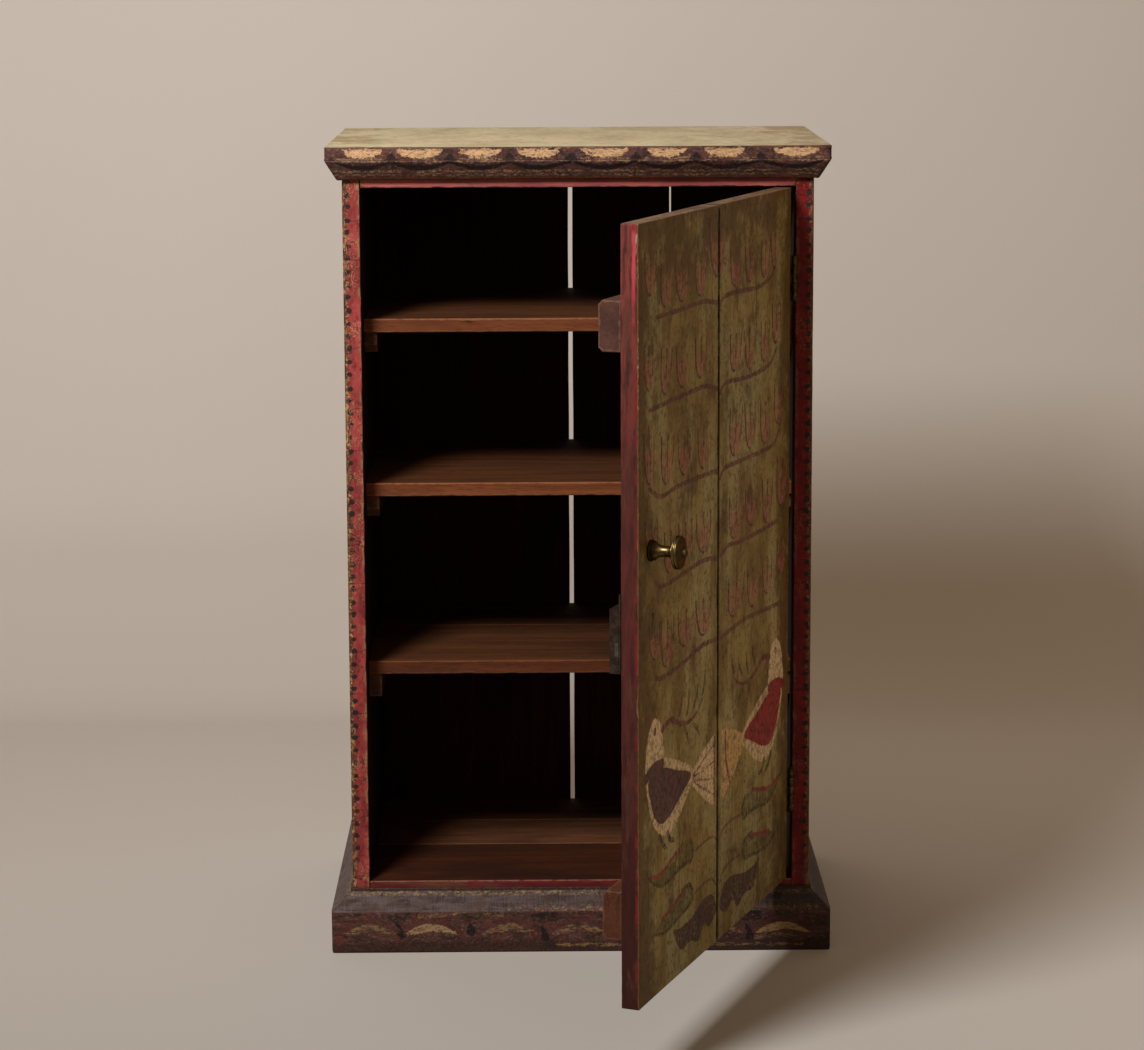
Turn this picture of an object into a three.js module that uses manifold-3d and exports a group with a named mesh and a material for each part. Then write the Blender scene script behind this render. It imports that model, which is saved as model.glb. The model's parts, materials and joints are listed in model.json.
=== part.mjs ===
import * as THREE from 'three';
import { mergeVertices } from 'three/addons/utils/BufferGeometryUtils.js';
import Module from 'manifold-3d';

// A small painted kas cupboard: one battened door on butt hinges, three nailed shelves, a chamfered
// cornice and a chamfered plinth. Millimetres, +Z up, +X to the viewer's right, +Y to the back.
// The origin is on the floor under the middle of the front plinth board.

// Case
const caseWidth = 600;
const caseDepth = 405;
const totalHeight = 1053;
const sideThickness = 23;
const backThickness = 12;
const backFloorGap = 6;
const bottomThickness = 22;
const bottomReveal = 9;
const railThickness = 22;
const railReveal = 11;

// Cornice and plinth
const topThickness = 17;
const topOverhang = 21;
const corniceHeight = 25;
const corniceFoot = 6.5;
const plinthThickness = 27;
const plinthHeight = 80;
const plinthLipHeight = 4;
const plinthChamferHeight = 21;
const plinthLip = 3;
const mitreGap = 0.3;

// Back boards: where the two open joints between the three boards lie, from the middle of the case
const backJointLeft = -7;
const backJointLeftGap = 5.5;
const backJointRight = 133;
const backJointRightGap = 2;

// Shelves and the cleats under them. A shelf's top lies at a share of the opening's height.
const shelfThickness = 18;
const shelfSetback = 37;
const upperShare = 0.812;
const middleShare = 0.576;
const lowerShare = 0.316;
const boardSeam = 0.8;
const shelfSeamDepth = 252;
const bottomFrontSeamDepth = 168;
const bottomBackSeamDepth = 285;
const cleatThickness = 17;
const cleatSetback = 42;
const cleatBackGap = 10;
const cleatUpperHeight = 27;
const cleatMiddleHeight = 28;
const cleatLowerHeight = 31;
const cleatCut = 11;
const bearerThickness = 20;
const bearerHeight = 26;

// Door
const doorThickness = 22;
const doorGap = 3;
const doorEndGap = 1.5;
const doorOpenDegrees = 67.5;
const doorJoint = 278;
const doorJointGap = 5;
const battenHeight = 59;
const battenUpperDrop = 116;
const battenLowerRise = 108.5;
const battenUpperThickness = 28;
const battenLowerThickness = 25;
const battenEndGap = 4;
const battenHingeGap = 30;
const battenBevel = 5;
const seatGap = 0.3;

// Hinges
const hingeHeight = 58;
const hingeLowerRaise = 11;
const leafThickness = 1.2;
const leafWidth = 19;
const barrelRadius = 4;
const barrelProud = 0.5;
const hingePinRadius = 1.9;
const hingePinHead = 2.6;
const hingePinHeadHeight = 1.6;
const knuckleCount = 5;
const knuckleGap = 0.4;
const pinPlay = 0.4;

// Knob
const knobFromFreeEdge = 37;
const knobAboveLock = 46;
const knobBaseRadius = 12.8;
const knobBaseHeight = 4.5;
const knobStemRadius = 5.2;
const knobStemTop = 27;
const knobCollarRadius = 8.2;
const knobCollarHeight = 3;
const knobHeadRadius = 19.4;
const knobHeadRim = 3;
const knobHeadDome = 3.5;
const knobButtonRadius = 4.4;
const knobLength = 44.5;
const knobEdgeShare = 0.33;
const knobBaseShoulderShares = { radius: 0.86, height: 0.7 };
const knobNeckShares = { radius: 1.45, height: 1 };
const knobNeckTopShares = { radius: 1.08, height: 1.7 };
const knobStemFlareShares = { radius: 1.12, height: 0.85 };
const knobHeadBackShare = 0.72;
const knobHeadFrontShares = { radius: 0.8, height: 1.1 };
const knobTipShare = 0.6;
const postRadius = 3;
const postPlay = 0.35;
const washerRadius = 9;
const washerThickness = 1.5;
const nutRadius = 6.4;
const nutHeight = 5;
const postEnd = 1.5;

// Lock. Its heights are measured from the bottom of its plate.
const lockRise = 395.5;
const lockPlateThickness = 2;
const lockPlateHeight = 92;
const lockPlateWidth = 66;
const lockCaseHeight = 75;
const lockCaseWidth = 58;
const lockCaseDepth = 11;
const lockWall = 1.2;
const lockScrewInset = 9.6;
const lockTopScrewShares = [0.8, 0.2];
const boltThickness = 5;
const boltHeight = 16;
const boltRise = 28;
const boltLength = 42;
const boltThrow = 10;
const boltPlay = 0.4;
const mortiseClearance = 1.5;
const keyholeFromFreeEdge = 45;
const keyholeRise = 62;
const keyholeRadius = 2.8;
const keyholeSlotWidth = 3;
const keyholeSlotLength = 10;
const keyPinRadius = 1.3;
const springThickness = 0.8;
const springWidth = 4;
const springSpan = 30;
const springRise = 6;

// Screws
const screwHeadRadius = 2.8;
const screwHeadHeight = 0.9;
const screwShankRadius = 1.3;
const screwPlay = 0.3;
const screwGrip = 12;
const leafScrewAcrossShare = 0.17;
const leafScrewAlongShare = 0.33;
const overrun = 2;

// How round the turned pieces are, as counts of flat sides
const knobSides = 28;
const barrelSides = 16;
const nutSides = 6;
const screwSides = 8;
const arcSteps = 8;

// Places worked out from the sizes
const half = caseWidth / 2;
const front = plinthThickness / 2;
const back = front + caseDepth;
const backFace = back - backThickness;
const inner = half - sideThickness;
const topUnderside = totalHeight - topThickness;
const corniceBottom = topUnderside - corniceHeight;
const openingTop = corniceBottom - railReveal;
const openingBottom = plinthHeight + bottomReveal;
const bottomUnderside = openingBottom - bottomThickness;
const pinX = inner - doorGap / 2;
const pinY = front - barrelRadius - barrelProud;
const doorHingeEdge = inner - doorGap;
const doorFreeEdge = -inner + doorGap;
const doorBottom = openingBottom + doorEndGap;
const doorTop = openingTop - doorEndGap;
const doorInside = front + doorThickness;
const jointX = doorHingeEdge - doorJoint + doorGap / 2;
const battenMiddles = { upper: doorTop - battenUpperDrop, lower: doorBottom + battenLowerRise };
const hingeMiddles = { upper: battenMiddles.upper, lower: battenMiddles.lower + hingeLowerRaise };
const lockBottom = doorBottom + lockRise;
const lockPlateTop = lockBottom + lockPlateHeight;
const lockCaseTop = lockBottom + lockCaseHeight;
const boltBottom = lockBottom + boltRise - boltHeight / 2;
const keyholeHeight = lockBottom + keyholeRise;
const knobHeight = lockPlateTop + knobAboveLock;

const AX = new THREE.Vector3(1, 0, 0);
const AY = new THREE.Vector3(0, 1, 0);
const AZ = new THREE.Vector3(0, 0, 1);
const intoFront = new THREE.Vector3(0, -1, 0);
const intoBack = new THREE.Vector3(0, 1, 0);

const wasm = await Module();
wasm.setup();

// Materials
function material(color, roughness, metalness = 0) {
  return new THREE.MeshStandardMaterial({ color, roughness, metalness });
}
const finish = {
  side: () => material(0x6d2a24, 0.7),
  trim: () => material(0x4a2c30, 0.65),
  top: () => material(0xb9ac82, 0.75),
  shelf: () => material(0x8a5a34, 0.75),
  bare: () => material(0x6f4a2e, 0.85),
  door: () => material(0x8f8550, 0.7),
  brass: () => material(0x8a6f38, 0.35, 1),
  iron: () => material(0x4b4a4c, 0.5, 1),
};

// Solids. Their corners are set rather than moved, so that faces that meet agree exactly.
function box(x0, x1, y0, y1, z0, z1) {
  const solid = new THREE.BoxGeometry(1, 1, 1);
  const corner = solid.attributes.position;
  for (let i = 0; i < corner.count; i += 1) {
    const x = corner.getX(i) < 0 ? x0 : x1;
    const y = corner.getY(i) < 0 ? y0 : y1;
    corner.setXYZ(i, x, y, corner.getZ(i) < 0 ? z0 : z1);
  }
  return solid;
}

function extrude(points, length, holes = []) {
  const shape = new THREE.Shape(points.map(([x, y]) => new THREE.Vector2(x, y)));
  shape.holes = holes.map((hole) => new THREE.Path(hole.map(([x, y]) => new THREE.Vector2(x, y))));
  return new THREE.ExtrudeGeometry(shape, { depth: length, bevelEnabled: false });
}

// An outline of (y, z) points drawn along X from x0 to x1
function alongX(points, x0, x1) {
  const solid = extrude(points, 1);
  const corner = solid.attributes.position;
  for (let i = 0; i < corner.count; i += 1) {
    corner.setXYZ(i, corner.getZ(i) > 0 ? x1 : x0, corner.getX(i), corner.getY(i));
  }
  return solid;
}

function circle(radius, sides, cx = 0, cy = 0) {
  return Array.from({ length: sides }, (_, i) => {
    const angle = (2 * Math.PI * (i + 0.5)) / sides;
    return [cx + radius * Math.cos(angle), cy + radius * Math.sin(angle)];
  });
}

// A turned solid: (radius, height) points that start and end on the axis, with the axis along a direction
function turned(profile, sides, at, direction) {
  const lathe = new THREE.LatheGeometry(profile.map(([r, h]) => new THREE.Vector2(r, h)), sides);
  const turn = new THREE.Quaternion().setFromUnitVectors(AY, direction);
  return lathe.applyQuaternion(turn).translate(...at);
}

function rod(radius, length, sides, at, direction) {
  return turned([[0, 0], [radius, 0], [radius, length], [0, length]], sides, at, direction);
}

function toManifold(geometry) {
  const plain = geometry.clone();
  plain.deleteAttribute('normal');
  plain.deleteAttribute('uv');
  const merged = mergeVertices(plain.index ? plain.toNonIndexed() : plain);
  const vertProperties = new Float32Array(merged.attributes.position.array);
  const triVerts = new Uint32Array(merged.index.array);
  return new wasm.Manifold(new wasm.Mesh({ numProp: 3, vertProperties, triVerts }));
}

function toGeometry(manifold) {
  const mesh = manifold.getMesh();
  const geometry = new THREE.BufferGeometry();
  geometry.setAttribute('position', new THREE.BufferAttribute(new Float32Array(mesh.vertProperties), 3));
  geometry.setIndex(new THREE.BufferAttribute(new Uint32Array(mesh.triVerts), 1));
  return geometry;
}

function cut(geometry, cutters) {
  if (cutters.length === 0) return geometry;
  let solid = toManifold(geometry);
  for (const cutter of cutters) solid = solid.subtract(toManifold(cutter));
  return toGeometry(solid);
}

function join(geometries) {
  return toGeometry(geometries.map(toManifold).reduce((a, b) => a.add(b)));
}

function mesh(name, geometry, look) {
  geometry.computeVertexNormals();
  const piece = new THREE.Mesh(geometry, look());
  piece.name = name;
  return piece;
}

// A screw with its flat head flush at a point. Grown, it is the hole for it.
function screw({ at, into }, grow = 0) {
  const head = screwHeadRadius + grow;
  const shank = screwShankRadius + grow;
  const out = grow > 0 ? -overrun : 0;
  const profile = [
    [0, out], [head, out], [head, screwHeadHeight], [shank, screwHeadHeight + screwShankRadius],
    [shank, screwGrip + grow], [0, screwGrip + grow],
  ];
  return turned(profile, screwSides, at, into);
}

// Cuts out of a solid the holes of the screws that go into it
function drilled(geometry, screws) {
  return cut(geometry, screws.map((s) => screw(s, screwPlay)));
}

// Shelves, cleats and boards
const openingHeight = openingTop - openingBottom;
const shelfTops = {
  upper: openingBottom + upperShare * openingHeight,
  middle: openingBottom + middleShare * openingHeight,
  lower: openingBottom + lowerShare * openingHeight,
};
const cleatHeights = { upper: cleatUpperHeight, middle: cleatMiddleHeight, lower: cleatLowerHeight };
const sides = { left: -1, right: 1 };
const shelfFront = front + shelfSetback;
const cleatFront = front + cleatSetback;
const cleatEnd = backFace - cleatBackGap;
const shelfSeam = front + shelfSeamDepth;
const bottomEdges = [front, front + bottomFrontSeamDepth, front + bottomBackSeamDepth, backFace];

const backEdges = [
  [-half, backJointLeft - backJointLeftGap / 2],
  [backJointLeft + backJointLeftGap / 2, backJointRight - backJointRightGap / 2],
  [backJointRight + backJointRightGap / 2, half],
];
const shelfBoards = [
  { name: 'shelf_upper', top: shelfTops.upper, y0: shelfFront, y1: backFace },
  { name: 'shelf_middle', top: shelfTops.middle, y0: shelfFront, y1: backFace },
  { name: 'shelf_lower_front', top: shelfTops.lower, y0: shelfFront, y1: shelfSeam - boardSeam / 2 },
  { name: 'shelf_lower_back', top: shelfTops.lower, y0: shelfSeam + boardSeam / 2, y1: backFace },
];
const bottomBoards = ['front', 'middle', 'back'].map((where, i) => ({
  name: `bottom_board_${where}`,
  y0: bottomEdges[i] + (i > 0 ? boardSeam / 2 : 0),
  y1: bottomEdges[i + 1] - (i < bottomEdges.length - 2 ? boardSeam / 2 : 0),
}));
const doorEdges = [[doorFreeEdge, jointX - doorJointGap / 2], [jointX + doorJointGap / 2, doorHingeEdge]];
const battens = {
  upper: { middle: battenMiddles.upper, thickness: battenUpperThickness },
  lower: { middle: battenMiddles.lower, thickness: battenLowerThickness },
};
// Hinge screws, two in each case leaf and two in each door leaf
const leafMiddleY = pinY + barrelRadius + leafWidth / 2;
function leafScrews(middle, x, into) {
  const across = leafWidth * leafScrewAcrossShare;
  const along = hingeHeight * leafScrewAlongShare;
  return [-1, 1].map((row) => ({ at: [x, leafMiddleY + row * across, middle + row * along], into }));
}
const hingeScrews = Object.fromEntries(Object.entries(hingeMiddles).map(([name, middle]) => [name, {
  case: leafScrews(middle, inner - leafThickness, AX),
  door: leafScrews(middle, doorHingeEdge + leafThickness + seatGap, AX.clone().negate()),
}]));
const caseScrews = Object.values(hingeScrews).flatMap((hinge) => hinge.case);
const doorScrews = Object.values(hingeScrews).flatMap((hinge) => hinge.door);

// Case
const cupboard = new THREE.Group();

function boltSlot(grow, depth) {
  const y0 = doorInside + seatGap + lockPlateThickness + boltPlay - grow;
  const y1 = y0 + boltThickness + 2 * grow;
  const z0 = boltBottom - grow;
  return box(-inner - depth, -inner + overrun, y0, y1, z0, z0 + boltHeight + 2 * grow);
}

function addCase() {
  for (const [name, side] of Object.entries(sides)) {
    const x = [side * inner, side * half].sort((a, b) => a - b);
    let board = box(x[0], x[1], front, backFace, 0, topUnderside);
    if (name === 'left') {
      const reach = boltThrow - doorGap + mortiseClearance;
      board = cut(board, [boltSlot(mortiseClearance, reach)]);
    } else {
      board = drilled(board, caseScrews);
    }
    cupboard.add(mesh(`side_${name}`, board, finish.side));
  }
  ['left', 'middle', 'right'].forEach((name, i) => {
    const board = box(backEdges[i][0], backEdges[i][1], backFace, back, backFloorGap, topUnderside);
    cupboard.add(mesh(`back_board_${name}`, board, finish.bare));
  });
  const rail = box(-inner, inner, front, front + railThickness, openingTop, topUnderside);
  cupboard.add(mesh('top_rail', rail, finish.side));
  const reach = half + topOverhang;
  const top = box(-reach, reach, front - topOverhang, back, topUnderside, totalHeight);
  cupboard.add(mesh('top_board', top, finish.top));
}

function addShelves() {
  for (const { name, top, y0, y1 } of shelfBoards) {
    const board = box(-inner, inner, y0, y1, top - shelfThickness, top);
    cupboard.add(mesh(name, board, finish.shelf));
  }
  for (const { name, y0, y1 } of bottomBoards) {
    const board = box(-inner, inner, y0, y1, bottomUnderside, openingBottom);
    cupboard.add(mesh(name, board, finish.shelf));
  }
}

// A cleat's side view: a bar whose lower front corner is cut away
function cleatOutline(top, height, corner) {
  const bottom = top - height;
  const square = [[cleatFront, bottom]];
  const bevelled = [[cleatFront, bottom + corner], [cleatFront + corner, bottom]];
  return [[cleatFront, top], ...(corner > 0 ? bevelled : square), [cleatEnd, bottom], [cleatEnd, top]];
}

function addCleats() {
  const corners = { upper: cleatCut, middle: cleatCut, lower: 0 };
  for (const [name, side] of Object.entries(sides)) {
    for (const key of Object.keys(shelfTops)) {
      const x = [side * inner, side * (inner - cleatThickness)].sort((a, b) => a - b);
      const outline = cleatOutline(shelfTops[key] - shelfThickness, cleatHeights[key], corners[key]);
      const cleat = alongX(outline, x[0], x[1]);
      cupboard.add(mesh(`cleat_${key}_${name}`, cleat, finish.bare));
    }
    const x = [side * inner, side * (inner - bearerThickness)].sort((a, b) => a - b);
    const bearerBottom = bottomUnderside - bearerHeight;
    const bearer = box(x[0], x[1], front + boardSeam, cleatEnd, bearerBottom, bottomUnderside);
    cupboard.add(mesh(`bearer_${name}`, bearer, finish.bare));
  }
}

// A moulding's outline has points (out, z), with out measured away from the board it is fixed to.
// Each mitred end is sheared by its own distance from that board.
function moulding(outline, wallStart, wallEnd, mitres) {
  const geometry = alongX(outline.map(([out, z]) => [-out, z]), wallStart, wallEnd);
  const position = geometry.attributes.position;
  for (let i = 0; i < position.count; i += 1) {
    const out = -position.getY(i);
    const atStart = position.getX(i) < (wallStart + wallEnd) / 2;
    const grow = atStart ? -mitres.start * (out - mitreGap / 2) : mitres.end * (out - mitreGap / 2);
    position.setX(i, position.getX(i) + grow);
  }
  return geometry;
}

function addMouldings(name, outline) {
  const ahead = moulding(outline, -half, half, { start: 1, end: 1 });
  cupboard.add(mesh(`${name}_front`, ahead.translate(0, front, 0), finish.trim));
  const left = moulding(outline, -back, -front, { start: 0, end: 1 }).rotateZ(-Math.PI / 2);
  cupboard.add(mesh(`${name}_left`, left.translate(-half, 0, 0), finish.trim));
  const right = moulding(outline, front, back, { start: 1, end: 0 }).rotateZ(Math.PI / 2);
  cupboard.add(mesh(`${name}_right`, right.translate(half, 0, 0), finish.trim));
}

function addTrim() {
  addMouldings('cornice', [
    [0, corniceBottom], [0, topUnderside], [topOverhang, topUnderside], [corniceFoot, corniceBottom],
  ]);
  const chamferTop = plinthHeight - plinthLipHeight;
  addMouldings('plinth', [
    [0, 0], [0, plinthHeight], [plinthLip, plinthHeight], [plinthLip, chamferTop],
    [plinthThickness, chamferTop - plinthChamferHeight], [plinthThickness, 0],
  ]);
}

// Door, modelled closed in the case's own place and then turned open about the hinge pins
const doorPivot = new THREE.Group();
doorPivot.position.set(pinX, pinY, 0);
doorPivot.rotation.z = THREE.MathUtils.degToRad(doorOpenDegrees);
const door = new THREE.Group();
door.position.set(-pinX, -pinY, 0);
doorPivot.add(door);
cupboard.add(doorPivot);

function addScrews(name, screws, carrier) {
  screws.forEach((s, i) => carrier.add(mesh(`${name}_screw_${i + 1}`, screw(s), finish.iron)));
}

const knobX = doorFreeEdge + knobFromFreeEdge;
const keyholeX = doorFreeEdge + keyholeFromFreeEdge;

function keyhole(y0, y1) {
  const lowest = -keyholeRadius - keyholeSlotLength;
  const start = Math.asin(keyholeSlotWidth / 2 / keyholeRadius);
  const arc = Array.from({ length: arcSteps + 1 }, (_, i) => {
    const angle = -Math.PI / 2 + start + ((2 * Math.PI - 2 * start) * i) / arcSteps;
    return [keyholeRadius * Math.cos(angle), keyholeRadius * Math.sin(angle)];
  });
  const outline = [[-keyholeSlotWidth / 2, lowest], [keyholeSlotWidth / 2, lowest], ...arc];
  const basis = new THREE.Matrix4().makeBasis(AX, AZ, intoFront);
  return extrude(outline, y1 - y0).applyMatrix4(basis).translate(keyholeX, y1, keyholeHeight);
}

// A batten's section: its two inner corners are bevelled
function battenOutline({ middle, thickness }) {
  const y0 = doorInside + seatGap;
  const y1 = y0 + thickness;
  const z0 = middle - battenHeight / 2;
  const z1 = middle + battenHeight / 2;
  return [[y0, z0], [y1 - battenBevel, z0], [y1, z0 + battenBevel], [y1, z1 - battenBevel],
    [y1 - battenBevel, z1], [y0, z1]];
}

function addDoorBoards() {
  ['free', 'hinge'].forEach((name, i) => {
    let board = box(doorEdges[i][0], doorEdges[i][1], front, doorInside, doorBottom, doorTop);
    if (name === 'free') {
      const post = rod(postRadius + postPlay, doorThickness + 2 * overrun, barrelSides,
        [knobX, front - overrun, knobHeight], intoBack);
      board = cut(board, [post, keyhole(front - overrun, doorInside + overrun)]);
      board = drilled(board, lockScrews);
    } else {
      board = drilled(board, doorScrews);
    }
    door.add(mesh(`door_board_${name}`, board, finish.door));
  });
  for (const [name, batten] of Object.entries(battens)) {
    const bar = alongX(battenOutline(batten), doorFreeEdge + battenEndGap, doorHingeEdge - battenHingeGap);
    door.add(mesh(`batten_${name}`, bar, finish.bare));
  }
}

// The knob's profile, outward from the face of the door, with the threaded post behind it
function addKnob() {
  const postLength = doorThickness + washerThickness + nutHeight + postEnd + 2 * seatGap;
  const headBack = knobStemTop + knobCollarHeight;
  const headFront = headBack + knobHeadRim;
  const step = (radius, height, shares) => [radius * shares.radius, height * shares.height];
  const post = [[0, -postLength], [postRadius, -postLength], [postRadius, seatGap]];
  const base = [
    [knobBaseRadius, seatGap],
    [knobBaseRadius, seatGap + knobBaseHeight * knobEdgeShare],
    step(knobBaseRadius, knobBaseHeight, knobBaseShoulderShares),
  ];
  const stem = [
    step(knobStemRadius, knobBaseHeight, knobNeckShares),
    step(knobStemRadius, knobBaseHeight, knobNeckTopShares),
    [knobStemRadius, knobStemTop / 2],
    step(knobStemRadius, knobStemTop, knobStemFlareShares),
    [knobCollarRadius, knobStemTop],
    [knobCollarRadius, headBack - knobCollarHeight * knobEdgeShare],
  ];
  const rimFront = step(knobHeadRadius, knobHeadRim, knobHeadFrontShares);
  const head = [
    [knobHeadRadius * knobHeadBackShare, headBack],
    [knobHeadRadius, headBack + knobHeadRim * knobEdgeShare],
    [knobHeadRadius, headFront],
    [rimFront[0], headBack + rimFront[1]],
    [knobButtonRadius, headFront + knobHeadDome],
    [knobButtonRadius, knobLength - knobButtonRadius / 2],
    [knobButtonRadius * knobTipShare, knobLength],
    [0, knobLength],
  ];
  const profile = [...post, ...base, ...stem, ...head];
  const knob = turned(profile, knobSides, [knobX, front, knobHeight], intoFront);
  door.add(mesh('knob', knob, finish.brass));
  const basis = new THREE.Matrix4().makeBasis(AX, AZ, intoFront);
  const hole = circle(postRadius + postPlay, barrelSides);
  const washerY = doorInside + seatGap + washerThickness;
  const washer = extrude(circle(washerRadius, barrelSides), washerThickness, [hole]).applyMatrix4(basis);
  door.add(mesh('knob_washer', washer.translate(knobX, washerY, knobHeight), finish.iron));
  const nut = extrude(circle(nutRadius, nutSides), nutHeight, [hole]).applyMatrix4(basis);
  const nutY = washerY + seatGap + nutHeight;
  door.add(mesh('knob_nut', nut.translate(knobX, nutY, knobHeight), finish.iron));
}

// Lock: a plate on the inner face, a box over it, and a bolt that slides out past the free edge
const plateY = doorInside + seatGap;
const plateBack = plateY + lockPlateThickness;
const lockCaseY = plateBack + seatGap;
const lockScrewPlaces = [
  [(lockPlateWidth + lockCaseWidth) / 2, lockBottom + lockScrewInset],
  [(lockPlateWidth + lockCaseWidth) / 2, lockCaseTop - lockScrewInset],
  ...lockTopScrewShares.map((share) => [lockCaseWidth * share, (lockCaseTop + lockPlateTop) / 2]),
];
const lockScrews = lockScrewPlaces.map(([fromEdge, z]) => (
  { at: [doorFreeEdge + fromEdge, plateBack, z], into: intoFront }));

function addLock() {
  const x0 = doorFreeEdge;
  let plate = box(x0, x0 + lockPlateWidth, plateY, plateBack, lockBottom, lockPlateTop);
  plate = cut(plate, [keyhole(plateY - overrun, plateBack + overrun)]);
  door.add(mesh('lock_plate', drilled(plate, lockScrews), finish.iron));

  const y1 = lockCaseY + lockCaseDepth;
  const shell = box(x0, x0 + lockCaseWidth, lockCaseY, y1, lockBottom, lockCaseTop);
  const hollow = box(x0 + lockWall, x0 + lockCaseWidth - lockWall, lockCaseY - overrun, y1 - lockWall,
    lockBottom + lockWall, lockCaseTop - lockWall);
  const boltY = plateBack + boltPlay;
  const boltTop = boltBottom + boltHeight;
  const window = box(x0 - overrun, x0 + lockWall + overrun, lockCaseY - overrun,
    boltY + boltThickness + boltPlay, boltBottom - boltPlay, boltTop + boltPlay);
  door.add(mesh('lock_case', cut(shell, [hollow, window]), finish.iron));

  const bolt = box(x0, x0 + boltLength, boltY, boltY + boltThickness, boltBottom, boltTop);
  door.add(mesh('lock_bolt', bolt, finish.iron));

  const pinBase = [keyholeX, lockCaseY, keyholeHeight];
  const pin = rod(keyPinRadius, lockCaseDepth - lockWall - seatGap, screwSides, pinBase, intoBack);
  door.add(mesh('lock_key_pin', pin, finish.iron));

  // A bowed leaf spring that presses on the back of the bolt's upper edge
  const middleX = x0 + lockWall + seatGap + springSpan / 2;
  const bow = (offset) => Array.from({ length: arcSteps + 1 }, (_, i) => {
    const t = (2 * i) / arcSteps - 1;
    return [middleX + (t * springSpan) / 2, boltTop + boltPlay + springRise * t * t + offset];
  });
  const outline = [...bow(0), ...bow(springThickness).reverse()];
  const basis = new THREE.Matrix4().makeBasis(AX, AZ, intoFront);
  const spring = extrude(outline, springWidth).applyMatrix4(basis).translate(0, boltY + springWidth, 0);
  door.add(mesh('lock_spring', spring, finish.iron));
  addScrews('lock', lockScrews, door);
}

// Butt hinges: each leaf is a plate with its share of the knuckles, and a pin runs through them all
function hingeLeaf(middle, own, plateX0, plateX1) {
  const bottom = middle - hingeHeight / 2;
  const pitch = hingeHeight / knuckleCount;
  const bore = circle(hingePinRadius + pinPlay, barrelSides, pinX, pinY);
  const ring = circle(barrelRadius, barrelSides, pinX, pinY);
  const web = pinY + (barrelRadius + hingePinRadius + pinPlay) / 2;
  const plateY0 = pinY + barrelRadius + barrelProud;
  const plateY1 = pinY + barrelRadius + leafWidth;
  let leaf = box(plateX0, plateX1, plateY0, plateY1, bottom, bottom + hingeHeight);
  for (let i = 0; i < knuckleCount; i += 1) {
    if ((i % 2 === 0) !== own) continue;
    const z0 = bottom + i * pitch + knuckleGap / 2;
    const length = pitch - knuckleGap;
    const knuckle = extrude(ring, length, [bore]).translate(0, 0, z0);
    const tab = box(plateX0, plateX1, web, plateY0 + overrun, z0, z0 + length);
    leaf = join([leaf, tab, knuckle]);
  }
  return leaf;
}

function addHinges() {
  for (const [name, middle] of Object.entries(hingeMiddles)) {
    const caseLeaf = hingeLeaf(middle, true, inner - leafThickness, inner);
    cupboard.add(mesh(`hinge_${name}_case_leaf`, drilled(caseLeaf, hingeScrews[name].case), finish.brass));
    const x0 = doorHingeEdge + seatGap;
    const doorLeaf = hingeLeaf(middle, false, x0, x0 + leafThickness);
    door.add(mesh(`hinge_${name}_door_leaf`, drilled(doorLeaf, hingeScrews[name].door), finish.brass));
    const bottom = middle - hingeHeight / 2;
    const top = hingeHeight + knuckleGap;
    const profile = [[0, 0], [hingePinRadius, 0], [hingePinRadius, top], [hingePinHead, top],
      [hingePinHead, top + hingePinHeadHeight], [0, top + hingePinHeadHeight]];
    const pin = turned(profile, barrelSides, [pinX, pinY, bottom], AZ);
    cupboard.add(mesh(`hinge_${name}_pin`, pin, finish.brass));
    addScrews(`hinge_${name}_case`, hingeScrews[name].case, cupboard);
    addScrews(`hinge_${name}_door`, hingeScrews[name].door, door);
  }
}

addCase();
addShelves();
addCleats();
addTrim();
addDoorBoards();
addKnob();
addLock();
addHinges();

export default cupboard;
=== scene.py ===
import json
import math

import bpy
import numpy as np
from mathutils import Matrix, Vector
from mathutils.kdtree import KDTree


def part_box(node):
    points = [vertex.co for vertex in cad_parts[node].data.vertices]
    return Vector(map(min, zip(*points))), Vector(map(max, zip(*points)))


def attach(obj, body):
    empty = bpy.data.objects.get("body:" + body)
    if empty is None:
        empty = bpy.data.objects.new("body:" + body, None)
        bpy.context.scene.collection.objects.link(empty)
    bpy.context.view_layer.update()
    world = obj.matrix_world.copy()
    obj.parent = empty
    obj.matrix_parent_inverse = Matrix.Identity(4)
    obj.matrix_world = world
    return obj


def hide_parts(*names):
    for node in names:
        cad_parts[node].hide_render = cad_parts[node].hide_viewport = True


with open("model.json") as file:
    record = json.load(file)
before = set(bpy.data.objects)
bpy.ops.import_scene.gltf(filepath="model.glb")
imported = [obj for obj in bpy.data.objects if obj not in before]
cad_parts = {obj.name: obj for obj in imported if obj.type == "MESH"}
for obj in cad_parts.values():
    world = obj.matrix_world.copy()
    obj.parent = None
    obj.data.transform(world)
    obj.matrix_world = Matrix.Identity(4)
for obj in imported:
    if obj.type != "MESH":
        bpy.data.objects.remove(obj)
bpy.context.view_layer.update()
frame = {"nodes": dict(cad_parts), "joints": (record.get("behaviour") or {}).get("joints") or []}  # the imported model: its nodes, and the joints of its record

MM = 0.001
FAR = 0.05
TINY = 1e-9
NEARLY = 1e-5

# Camera, from the photograph's frame of 1144 x 1050 pixels
PHOTO_WIDTH = 1144
PHOTO_HEIGHT = 1050
SENSOR_WIDTH = 36
FOCAL_PIXELS = 3071
AXIS_ROW = 435
CAMERA_PLACE = (-0.0425, -3.8854, 1.3012)
CAMERA_PITCH = 9.03
CAMERA_YAW = -0.491
CAMERA_ROLL = -0.252


def linked(name, data):
    made = bpy.data.objects.new(name, data)
    bpy.context.scene.collection.objects.link(made)
    return made


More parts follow.
